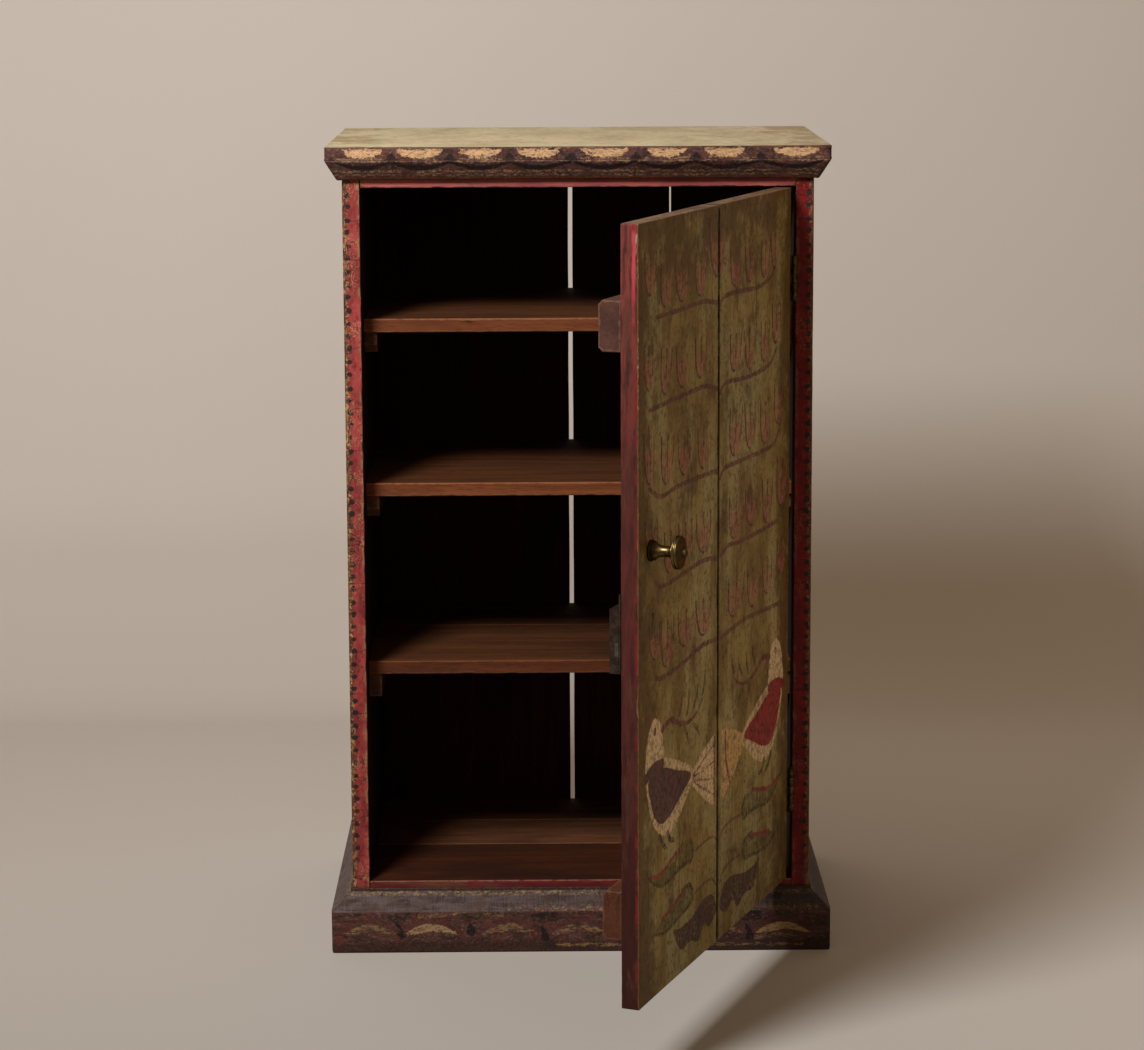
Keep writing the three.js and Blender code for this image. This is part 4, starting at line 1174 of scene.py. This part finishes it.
def cornice_layers(points):
    canvas = Canvas(points[:, [0, 2]], ["shade", "line"])
    height = float(case_box("cornice_front")[1][2]) / MM

    def below(shape, middle=0):
        return [(middle + x, height - drop) for x, drop in shape]

    ends = [middles[0] - SWAG_REACH, *peaks, middles[-1] + SWAG_REACH]
    top, foot = SWAG_END_DROPS
    for middle, left, right in zip(middles, ends, ends[1:]):
        canvas.fill("line", [*below([(left, top)]), *below(SWAG_TOP, middle),
                             *below([(right, top), (right, foot)]), *below(SWAG_FOOT, middle),
                             *below([(left, foot)])])
    for peak in peaks:
        canvas.fill("line", triangle(peak, height - 3, 6), sharp=True)
    for line, width in zip(SHADES, SHADE_WIDTHS):
        canvas.stroke("shade", below(line), width)
    return canvas.layers


# Arches along the plinth's face: middle in millimetres, and the layer of the crescent under each
ARCHES = ((-277, "faint_cream"), (-197, "cream"), (-94, "faint_cream"), (-2, "faint_cream"),
          (88, "faint_cream"), (176, "faint_cream"), (264, "arc"))
# From the middle of an arch, or of the space between two: out and up in millimetres
ARCH = ((-43, 18), (-30, 32), (0, 44), (30, 32), (43, 18))
CRESCENT = ((-36, 24), (-18, 35), (0, 39), (18, 35), (36, 24), (12, 28), (0, 29), (-14, 26))
DRIP = ((-4, 19), (0, 10), (1, 4))
SMUDGE = ((-20, 50), (-6, 40), (12, 46), (18, 52), (0, 54))
CREAM_LINES = (((-212, 49), (-160, 52), (-104, 50)), ((-30, 10), (60, 9), (130, 9), (220, 9), (290, 8)),
               ((228, 18), (262, 22), (284, 16)))
CREAM_WIDTHS = (5, 4, 5)


def plinth_layers(points):
    canvas = Canvas(points[:, [0, 2]], ["arch", "cream", "arc", "faint_cream", "smudge", "line"])

    def at(middle, shape, foot=0):
        return [(middle + x, foot + z) for x, z in shape]

    for middle, layer in ARCHES:
        canvas.stroke("arch", at(middle, ARCH), 9)
        canvas.fill(layer, at(middle, CRESCENT))
    for number, ((left, _), (right, _)) in enumerate(zip(ARCHES, ARCHES[1:])):
        space = (left + right) / 2
        canvas.stroke("line", at(space, DRIP, 20 + 5 * math.sin(number * 2.1)), 2.6, 12)
        canvas.fill("smudge", at(space, SMUDGE))
    for line, width in zip(CREAM_LINES, CREAM_WIDTHS):
        canvas.stroke("faint_cream", line, width)
    return canvas.layers


# Ornament of the mouldings: layer, colour, how it is rubbed, strength, and how ragged it is in millimetres
CORNICE_LAYERS = (("shade", (46, 31, 24), (0.3, 0.6), 0.6, 5), ("line", (24, 17, 18), (0.28, 0.46), 0.9, 3))
PLINTH_LAYERS = (
    ("arch", (88, 44, 40), (0.36, 0.56), 0.8, 4),
    ("faint_cream", (132, 104, 70), (0.42, 0.55), 0.85, 4),
    ("cream", (156, 126, 90), (0.36, 0.5), 0.9, 3.6),
    ("arc", (172, 138, 94), (0.28, 0.42), 0.92, 1.6),
    ("smudge", (24, 17, 17), (0.4, 0.56), 0.8, 4),
    ("line", (20, 15, 16), (0.34, 0.48), 0.94, 4),
)
DASH_DROPS = (1.5 * MM, 14 * MM, 19 * MM)


def add_trim():
    low, high = case_box("cornice_front")
    slope = node_points("cornice_front")
    foot = front_plane - slope[slope[:, 2] < low[2] + NEARLY][:, 1].min()
    outline = [(0, low[2]), (0, high[2]), (front_plane - low[1], high[2]), (foot, low[2])]
    paint = trim_paint("cornice_paint", CORNICE_LAYERS, (low[2] + 9 * MM, low[2] + 6.5 * MM, (98, 52, 34)),
                       rows=[float(high[2]) - drop for drop in DASH_DROPS])
    add_mouldings("cornice", outline, [paint], (0, 0, 0, 0, 0), [1 * MM, 0.4 * MM, 0.4 * MM, 1.8 * MM],
                  cornice_layers, 81)
    low, high = plinth_low, plinth_high
    out = front_plane - low[1]
    lip = min(p for p in front_plane - node_points("plinth_front")[:, 1] if p > 1 * MM)
    outline = [(0, low[2]), (0, high[2]), (lip, high[2]), (lip, CHAMFER_TOP), (out, CHAMFER_TOP - CHAMFER_RISE),
               (out, low[2])]
    # The plinth face's right end gets painted shadow of the open door.
    face = trim_paint("plinth_face_paint", PLINTH_LAYERS, (22 * MM, 13 * MM, (54, 33, 24)), door_shadow_depth=0.35)
    add_mouldings("plinth", outline, [face, chamfer_paint()], (0, 1, 1, 1, 0, 0, 0), 1.8 * MM,
                  plinth_layers, 91)


# Door

def cut_by(shape, cutters):
    """Takes closed cutters out of a solid, and keeps its arris distances by nearest point."""
    target = bpy.data.meshes.new("cut")
    target.from_pydata(shape["points"].tolist(), [], shape["faces"])
    target.polygons.foreach_set("material_index", [side + 1 for side in shape["sides"]])
    for _ in range(max(shape["sides"]) + 2):
        target.materials.append(DOOR_EDGE)
    body = linked("cut", target)
    tools = []
    for cutter in cutters:
        mesh = bpy.data.meshes.new("cutter")
        mesh.from_pydata(cutter["points"].tolist(), [], cutter["faces"])
        tools.append(linked("cutter", mesh))
        modifier = body.modifiers.new("cut", "BOOLEAN")
        modifier.object = tools[-1]
        modifier.solver = "EXACT"
    graph = bpy.context.evaluated_depsgraph_get()
    result = bpy.data.meshes.new_from_object(body.evaluated_get(graph))
    points = np.array([v.co for v in result.vertices], float)
    faces = [list(p.vertices) for p in result.polygons]
    sides = np.array([p.material_index - 1 for p in result.polygons])
    for done in (body, *tools):
        bpy.data.objects.remove(done)
    tree = KDTree(len(shape["points"]))
    for index, point in enumerate(shape["points"]):
        tree.insert(point, index)
    tree.balance()
    found = [tree.find(point) for point in points]
    arris = np.array([shape["arris"][index] if gap < NEARLY else 0 for _, index, gap in found])
    return {"points": points, "faces": faces, "sides": sides, "arris": arris, "grain": points}


KEYHOLE_INSET = 45 * MM
KEYHOLE_RISE = 62 * MM
KEYHOLE_RADIUS = 2.8 * MM
KEYHOLE_SLOT = 3 * MM
KEYHOLE_DROP = 10 * MM
POST_RADIUS = 3.35 * MM
CUT_OVERRUN = 5 * MM


def keyhole_outline():
    """Round hole over a slot, placed by the lock plate that the frame gives."""
    x = free_low[0] + KEYHOLE_INSET
    z = closed_box("lock_plate")[0][2] + KEYHOLE_RISE
    start = math.asin(KEYHOLE_SLOT / 2 / KEYHOLE_RADIUS)
    arc = [(x + KEYHOLE_RADIUS * math.cos(a), z + KEYHOLE_RADIUS * math.sin(a))
           for a in np.linspace(-math.pi / 2 + start, 1.5 * math.pi - start, 15)]
    bottom = z - KEYHOLE_RADIUS - KEYHOLE_DROP
    return [(x - KEYHOLE_SLOT / 2, bottom), (x + KEYHOLE_SLOT / 2, bottom), *arc]


def prism(outline, y0, y1):
    """A plain closed prism between two y planes, from (x, z) points that go against the clock as the front
    is faced. It is only a cutter."""
    count = len(outline)
    points = [(x, y, z) for y in (y0, y1) for x, z in outline]
    faces = [list(range(count)), list(range(count, 2 * count))[::-1]]
    faces += [[(i + 1) % count, i, count + i, count + (i + 1) % count] for i in range(count)]
    return {"points": np.array(points, float), "faces": faces}


def knob_centre():
    low, high = closed_box("knob")
    return (low[0] + high[0]) / 2, (low[2] + high[2]) / 2


DOOR_WEAR = {"spacing": [2.5 * MM, 3 * MM, 14 * MM, 3 * MM], "step": 2.5 * MM, "radius": 1.5 * MM, "chip": 0.8,
             "rounding": 1.3 * MM, "dent": 0.5 * MM, "dent_size": 90 * MM, "seed": 101}
DOOR_LOOKS = {"free": (0, 4, 2, 1, 3), "hinge": (0, 1, 2, 4, 3)}
JOINT_REACH = 8 * MM


def add_door_boards():
    """Sides of the outline: front, hinge side, back, free side."""
    materials = [DOOR_FACE, DOOR_EDGE, WOOD["door_inside"], WOOD["door_end"], WOOD["door_joint"]]
    for number, name in enumerate(("free", "hinge")):
        low, high = closed_box("door_board_" + name)
        shape = board(low, high, ALONG_Z, **numbered(DOOR_WEAR, number))
        if name == "free":
            post = round_steps(16) * POST_RADIUS + knob_centre()
            shape = cut_by(shape, [prism(outline, low[1] - CUT_OVERRUN, high[1] + CUT_OVERRUN)
                                   for outline in (post, keyhole_outline())])
        points = shape["points"]
        shape["arris"][np.abs(points[:, 0] - JOINT) < JOINT_REACH] = FAR
        front = points[:, 1] < low[1] + FRONT_DEPTH
        layers = {row[0]: np.full(len(points), FAR) for row in DOOR_LAYERS}
        for layer, values in paint_door(points[front][:, [0, 2]]).items():
            layers[layer][front] = values
        piece(f"door_{name}_board", shape, "door", materials, ["door_board_" + name],
              layers=layers, looks=DOOR_LOOKS[name])


BATTEN_WEAR = {"spacing": 5 * MM, "step": 6 * MM, "radius": 1.3 * MM, "chip": 0.8, "rounding": 1.4 * MM,
               "dent": 0.6 * MM, "seed": 111}
BATTEN_BEVEL = 5 * MM
BATTEN_NAIL_SHARES = (0.06, 0.22, 0.38, 0.62, 0.78, 0.94)
NAIL_OFFSET_SHARE = 0.2
NAIL_RADIUS = 3.4 * MM
NAIL_RISE = 0.9 * MM
NAIL_FOOT = 1.5 * MM
NAIL_DENT = 0.25 * MM
NAIL_SUNK = 0.4 * MM


def nail_head(at, direction, number):
    """A forged nail's low, uneven head."""
    radius = NAIL_RADIUS * (1 + 0.12 * math.sin(number * 1.7))
    profile = [(0, -NAIL_FOOT), (radius * 0.8, -NAIL_FOOT), (radius, 0), (radius * 0.9, NAIL_RISE * 0.5),
               (radius * 0.5, NAIL_RISE), (0, NAIL_RISE * 1.1)]
    head = turned(profile, at, direction, sides=9)
    head["points"] += NAIL_DENT * waves(head["points"], 2.5 * MM, number)[:, None]
    return head


def add_battens():
    """Bars with bevelled inner edges, and their two staggered rows of nails."""
    for number, name in enumerate(("upper", "lower")):
        low, high = closed_box("batten_" + name)
        inner = high[1] - BATTEN_BEVEL
        outline = [(low[1], low[2]), (inner, low[2]), (high[1], low[2] + BATTEN_BEVEL),
                   (high[1], high[2] - BATTEN_BEVEL), (inner, high[2]), (low[1], high[2])]
        shape = solid(outline, low[0], high[0], ALONG_X, **numbered(BATTEN_WEAR, number))
        piece(f"batten_{name}_bar", shape, "door", [WOOD[name + "_batten"]], ["batten_" + name])
        heads = []
        for nail, share in enumerate(BATTEN_NAIL_SHARES):
            offset = NAIL_OFFSET_SHARE if nail % 2 else -NAIL_OFFSET_SHARE
            x = low[0] + (high[0] - low[0]) * share
            z = (low[2] + high[2]) / 2 + (high[2] - low[2]) * offset
            heads.append(nail_head((x, high[1] - NAIL_SUNK, z), (0, 1, 0), nail))
        piece(f"batten_{name}_nails", joined(*heads), "door", [NAIL_IRON])


# The knob's profile: radius and height from the door in millimetres
KNOB_PROFILE = (
    (12.0, 0.3), (12.5, 0.9), (12.6, 2.0), (12.1, 3.0), (11.0, 3.4), (10.8, 4.0), (11.3, 4.7), (11.2, 5.9),
    (10.4, 6.8), (9.3, 7.4), (8.5, 8.6), (7.6, 10.4), (6.9, 12.8), (6.4, 15.5), (6.2, 18.5), (6.3, 21.5),
    (6.7, 24.0), (7.2, 25.6), (8.3, 26.2), (8.9, 27.0), (8.4, 27.8), (7.8, 28.2), (8.4, 28.9), (11.4, 29.7),
    (15.4, 30.4), (18.1, 30.9), (19.2, 31.5), (19.4, 32.3), (19.0, 33.0), (18.6, 33.4), (18.6, 34.7),
    (19.2, 35.2), (19.4, 36.2), (18.8, 37.2), (17.4, 37.5), (16.9, 37.2), (16.2, 37.2), (14.2, 37.9),
    (10.8, 38.7), (7.2, 39.2), (5.0, 39.3), (4.3, 39.6), (4.2, 40.2), (4.7, 41.2), (4.8, 42.1), (4.3, 43.2),
    (3.1, 44.0), (1.6, 44.4), (0, 44.5),
)
KNOB_POST = 3 * MM
KNOB_SINK = 0.3 * MM
POST_EASE = 0.6 * MM


def add_knob():
    x, z = knob_centre()
    back = KNOB_SEAT - closed_box("knob")[1][1]
    profile = [(0, back), (KNOB_POST * 0.8, back), (KNOB_POST, back + POST_EASE), (KNOB_POST, KNOB_SINK)]
    profile += [(r * MM, h * MM) for r, h in KNOB_PROFILE]
    shape = turned(profile, (x, KNOB_SEAT, z), (0, -1, 0), sides=64)
    piece("turned_knob", shape, "door", [knob_brass()], ["knob"])


# Hinges
PIN_RADIUS = 1.9 * MM
PIN_EASE = 0.4 * MM
# The head of a pin: radius in millimetres, and how far below the pin's top
PIN_HEAD = ((1.9, 1.7), (2.4, 1.6), (2.6, 1.1), (2.2, 0.4), (1.2, 0), (0, 0))
BORE_RADIUS = 2.3 * MM
KNUCKLES = 5
KNUCKLE_GAP = 0.4 * MM
KNUCKLE_EASE = 0.35 * MM
NECK_LAP = 2 * MM
LEAF_WEAR = {"spacing": 4 * MM, "radius": 0.25 * MM, "chip": 0.2, "rounding": 0.25 * MM, "dent": 0.05 * MM,
             "margin": 0.4 * MM, "seed": 5}
NECK_WEAR = {**LEAF_WEAR, "radius": 0.2 * MM, "chip": 0, "rounding": 0.2 * MM, "dent": 0.0, "seed": 6}


def add_hinges():
    """Butt hinges: each leaf is a plate with its knuckles, and a pin with a small head runs through."""
    for name in ("upper", "lower"):
        for first, owner in enumerate(("case", "door")):
            add_leaf(f"hinge_{name}_{owner}_leaf", owner, first)
        low, high = case_box(f"hinge_{name}_pin")
        rise = high[2] - low[2]
        profile = [(0, 0), (PIN_RADIUS * 0.8, 0), (PIN_RADIUS, PIN_EASE)]
        profile += [(r * MM, rise - drop * MM) for r, drop in PIN_HEAD]
        shape = turned(profile, (PIN.x, PIN.y, low[2]), (0, 0, 1), sides=24)
        piece(f"hinge_{name}_round_pin", shape, "case", [BRASS], [f"hinge_{name}_pin"])


def tube(outer, inner, low, high, sides=28):
    """A short tube on the hinge's axis with eased outer rims."""
    rim = outer - KNUCKLE_EASE
    loop = [(inner, low), (rim, low), (outer, low + KNUCKLE_EASE), (outer, high - KNUCKLE_EASE), (rim, high),
            (inner, high)]
    points = [(PIN.x + r * x, PIN.y + r * y, z) for x, y in round_steps(sides) for r, z in loop]
    count = len(loop)
    faces = []
    for i in range(sides):
        here, there = i * count, (i + 1) % sides * count
        for k in range(count):
            after = (k + 1) % count
            faces.append([here + k, there + k, there + after, here + after])
    return {"points": np.array(points), "faces": faces}


def add_leaf(node, body, first):
    """A hinge leaf: its plate where the frame has it, and every second knuckle with a neck to the plate."""
    points = node_points(node, body)
    barrel = PIN.y - points[:, 1].min()
    plate = points[points[:, 1] > PIN.y + barrel + KNUCKLE_GAP]
    low, high = plate.min(0), plate.max(0)
    pitch = (high[2] - low[2]) / KNUCKLES
    parts = [board(low, high, ALONG_Z, **LEAF_WEAR)]
    for number in range(first, KNUCKLES, 2):
        foot = low[2] + number * pitch + KNUCKLE_GAP / 2
        top = foot + pitch - KNUCKLE_GAP
        parts.append(tube(barrel, BORE_RADIUS, foot, top))
        neck_low = (low[0], PIN.y + (barrel + BORE_RADIUS) / 2, foot)
        parts.append(board(neck_low, (high[0], low[1] + NECK_LAP, top), ALONG_Z, **NECK_WEAR))
    piece(node + "_plate", joined(*parts), body, [BRASS], [node])


# Screws: radius and height of the shank's foot and neck, then the head's rim, in millimetres from the head
SHANK_FOOT = ((0.9, 1), (1.3, 2.5))
SHANK_NECK = (1.3 * MM, -2.4 * MM)
HEAD_RIM = (0.35 * MM, 0.1 * MM)
SLOT_HALF = 0.35 * MM
SLOT_DEPTH = 0.45 * MM
SLOT_OVERRUN = 1 * MM
BOX_FACES = [[0, 1, 3, 2], [4, 6, 7, 5], [0, 4, 5, 1], [2, 3, 7, 6], [0, 2, 6, 4], [1, 5, 7, 3]]


def add_screws():
    """Slotted heads, each with its shank, in place of the frame's screws."""
    for node in frame["nodes"]:
        if "screw" in node:
            add_screw(node, "case" if "_case_" in node else "door")


def add_screw(node, body):
    low, high = case_box(node) if body == "case" else closed_box(node)
    spread = high - low
    axis = int(np.argmax(spread))
    sign = -1 if axis == 0 and body == "case" else 1
    direction = np.zeros(3)
    direction[axis] = sign
    at = (low + high) / 2
    at[axis] = high[axis] if sign > 0 else low[axis]
    length = spread[axis]
    head = min(spread[i] for i in range(3) if i != axis) / 2
    profile = [(0, -length), *((r * MM, -length + h * MM) for r, h in SHANK_FOOT), SHANK_NECK,
               *((head, -drop) for drop in HEAD_RIM), (head * 0.9, 0), (0, 0)]
    shape = turned(profile, at, direction, sides=24)
    shape["sides"] = [0] * len(shape["faces"])
    shape["arris"] = np.zeros(len(shape["points"]))
    slot = np.array([[x, y, z] for x in (-head * 1.2, head * 1.2) for y in (-SLOT_HALF, SLOT_HALF)
                     for z in (-SLOT_DEPTH, SLOT_OVERRUN)])
    spin = Matrix.Rotation(len(node) * 0.9 + ord(node[-1]), 4, "Z")
    aim = Vector((0, 0, 1)).rotation_difference(Vector(direction)).to_matrix().to_4x4()
    cutter = {"points": moved(slot, Matrix.Translation(at) @ aim @ spin), "faces": BOX_FACES}
    shape = cut_by(shape, [cutter])
    shape["sides"] = [0] * len(shape["faces"])
    piece(node + "_slotted", shape, body, [BRIGHT_IRON], [node], smooth=False)


HARDWARE = {"lock_plate": IRON, "lock_case": IRON, "lock_bolt": BRIGHT_IRON, "lock_key_pin": BRIGHT_IRON,
            "lock_spring": BRIGHT_IRON, "knob_washer": BRIGHT_IRON, "knob_nut": BRIGHT_IRON}
HARDWARE_EASE = 0.35 * MM
EASED_FROM_DEGREES = 40


def dress_hardware():
    """The lock's plate, box and works keep the frame's shapes, with eased edges and old iron."""
    for node, material in HARDWARE.items():
        thing = frame["nodes"][node]
        for slot in thing.material_slots:
            slot.material = material
        bevel = thing.modifiers.new("eased", "BEVEL")
        bevel.width = HARDWARE_EASE
        bevel.segments = 2
        bevel.limit_method = "ANGLE"
        bevel.angle_limit = math.radians(EASED_FROM_DEGREES)


# Rivets of the lock: radius and height in millimetres, and places as shares of the lock's width and height
RIVET_PROFILE = ((0, -0.8), (2, -0.8), (2, 0.2), (1.6, 0.9), (0.8, 1.2), (0, 1.3))
RIVET_SHARES = ((0.14, 0.1), (0.86, 0.1), (0.14, 0.9), (0.86, 0.9), (0.5, 0.5))
HEAD_SUNK = 0.3 * MM


def add_lock_rivets():
    low, high = closed_box("lock_case")
    profile = [(r * MM, h * MM) for r, h in RIVET_PROFILE]
    heads = []
    for share_x, share_z in RIVET_SHARES:
        x = low[0] + (high[0] - low[0]) * share_x
        z = low[2] + (high[2] - low[2]) * share_z
        heads.append(turned(profile, (x, high[1] - HEAD_SUNK, z), (0, 1, 0), sides=16))
    piece("lock_rivets", joined(*heads), "door", [IRON])


NAILED_BOARDS = ("bottom_board_back", "shelf_lower_back", "shelf_middle", "shelf_upper")
BACK_NAIL_SHARES = (0.12, 0.5, 0.88)
SIDE_NAIL_SHARES = (0.2, 0.5, 0.8)
RAIL_NAIL_DROP = 12 * MM
BACK_NAIL_SWAY = 4 * MM
SIDE_NAIL_SWAY = 3 * MM


def add_case_nails():
    """Nail heads where boards and shelves are fixed."""
    levels = [float((case_box(node)[0][2] + case_box(node)[1][2]) / 2) for node in NAILED_BOARDS]
    rail_level = float(case_box("top_rail")[1][2]) - RAIL_NAIL_DROP
    heads = []
    for name in ("left", "middle", "right"):
        low, high = case_box("back_board_" + name)
        for z in (*levels, rail_level):
            for share in BACK_NAIL_SHARES:
                number = len(heads) + 1
                at = (low[0] + (high[0] - low[0]) * share, high[1] - HEAD_SUNK,
                      z + BACK_NAIL_SWAY * math.sin(number))
                heads.append(nail_head(at, (0, 1, 0), number))
    piece("back_nails", joined(*heads), "case", [NAIL_IRON])
    before = len(heads)
    heads = []
    for side in (-1, 1):
        for z in levels:
            for share in SIDE_NAIL_SHARES:
                number = before + len(heads) + 1
                y = side_low[1] + (side_high[1] - side_low[1]) * share
                at = (side * (half_width - NAIL_SUNK), y, z + SIDE_NAIL_SWAY * math.sin(number))
                heads.append(nail_head(at, (side, 0, 0), number))
    piece("side_nails", joined(*heads), "case", [NAIL_IRON])


# Stage and light
FAR_COLOUR = srgb(222, 215, 206)
NEAR_COLOUR = srgb(156, 149, 141)
NEAR_REACH = 0.6
FAR_REACH = 3.0
BACKDROP_COLOUR = srgb(190, 178, 164)
WALL_START = 1.2
WALL_RADIUS = 0.25
WALL_TOP = 6
STAGE_REACH = 24
KEY_PLACE = (-1.0, -1.5, 2.27)
KEY_AIM = (0, 0.2, 0.6)
KEY_SIZE = 0.66
KEY_POWER = 65
FILL_COLOUR = srgb(255, 220, 184)
FILL_STRENGTH = 0.25
# Painted shade in the paper's bend, fading out towards the right: axis, and from where to where it fades in
BEND_SHADE_FADES = (("Z", 0.4, 0.05), ("Y", -0.2, 1.2), ("X", 0.5, -0.3))


def sweep_paper():
    """Paper that is less pale near the light, so that it looks even, with painted shade in its bend, and clear
    from behind.
    """
    f = Finish("sweep_paper")
    ends = {0: f.vector("object", (1, 1, 0)), 1: (KEY_PLACE[0], KEY_PLACE[1], 0)}
    reach = f.add("VectorMath", ends, output="Value", operation="DISTANCE")
    f.start(reach.step(NEAR_REACH, FAR_REACH), NEAR_COLOUR, FAR_COLOUR)
    up, back, across = (f.axis(letter, "object").step(low, high) for letter, low, high in BEND_SHADE_FADES)
    # Painted shade where the floor bends up into the wall.
    f.shade(up * back * across, 0.18)
    f.shade(f.noise("object", (1, 1, 1), 600), 0.04)
    f.done(0.9)
    behind = f.add("NewGeometry", output="Backfacing")
    paper = Term(f, f.shader.outputs[0])
    both = f.add("MixShader", {0: behind, 1: paper, 2: f.add("BsdfTransparent")})
    f.feed(f.tree.nodes["Material Output"].inputs["Surface"], both)
    return f.material


def add_stage():
    """A pale floor that sweeps up into a wall, and runs on behind it. The wall doesn't hide the object from
    behind."""
    bend = [(WALL_START + WALL_RADIUS * math.sin(a), WALL_RADIUS * (1 - math.cos(a)))
            for a in np.linspace(0, math.pi / 2, 24)]
    line = [(-STAGE_REACH, 0), (0, 0), *bend, (WALL_START + WALL_RADIUS, WALL_TOP)]
    points = [(x, y, z) for y, z in line for x in (-STAGE_REACH, STAGE_REACH)]
    faces = [[2 * i, 2 * i + 1, 2 * i + 3, 2 * i + 2] for i in range(len(line) - 1)]
    last = len(points)
    points += [(x, y, 0) for y in (WALL_START, STAGE_REACH) for x in (-STAGE_REACH, STAGE_REACH)]
    faces.append([last, last + 1, last + 3, last + 2])
    mesh = bpy.data.meshes.new("sweep")
    mesh.from_pydata(points, [], faces)
    mesh.polygons.foreach_set("use_smooth", [True] * len(faces))
    mesh.materials.append(sweep_paper())
    linked("sweep", mesh)


def add_light():
    data = bpy.data.lights.new("key", "AREA")
    data.shape = "DISK"
    data.size = KEY_SIZE
    data.energy = KEY_POWER
    key = linked("key", data)
    key.location = KEY_PLACE
    key.rotation_mode = "QUATERNION"
    key.rotation_quaternion = (Vector(KEY_PLACE) - Vector(KEY_AIM)).to_track_quat("Z", "Y")
    key.visible_camera = False
    world = bpy.data.worlds.new("studio")
    world.use_nodes = True
    tree = world.node_tree
    fill = tree.nodes["Background"]
    fill.inputs["Color"].default_value = FILL_COLOUR
    fill.inputs["Strength"].default_value = FILL_STRENGTH
    seen = tree.nodes.new("ShaderNodeBackground")
    seen.inputs["Color"].default_value = BACKDROP_COLOUR
    path = tree.nodes.new("ShaderNodeLightPath")
    total = path.outputs["Is Camera Ray"]
    for name in ("Is Glossy Ray", "Is Transmission Ray"):
        add = tree.nodes.new("ShaderNodeMath")
        tree.links.new(total, add.inputs[0])
        tree.links.new(path.outputs[name], add.inputs[1])
        total = add.outputs[0]
    mix = tree.nodes.new("ShaderNodeMixShader")
    for number, output in enumerate((total, fill.outputs[0], seen.outputs[0])):
        tree.links.new(output, mix.inputs[number])
    tree.links.new(mix.outputs[0], tree.nodes["World Output"].inputs["Surface"])
    bpy.context.scene.world = world
    bpy.context.scene.view_settings.view_transform = "Standard"


add_stage()
add_light()
add_boards()
add_bars()
add_top()
add_trim()
add_door_boards()
add_battens()
add_knob()
add_hinges()
add_screws()
dress_hardware()
add_lock_rivets()
add_case_nails()
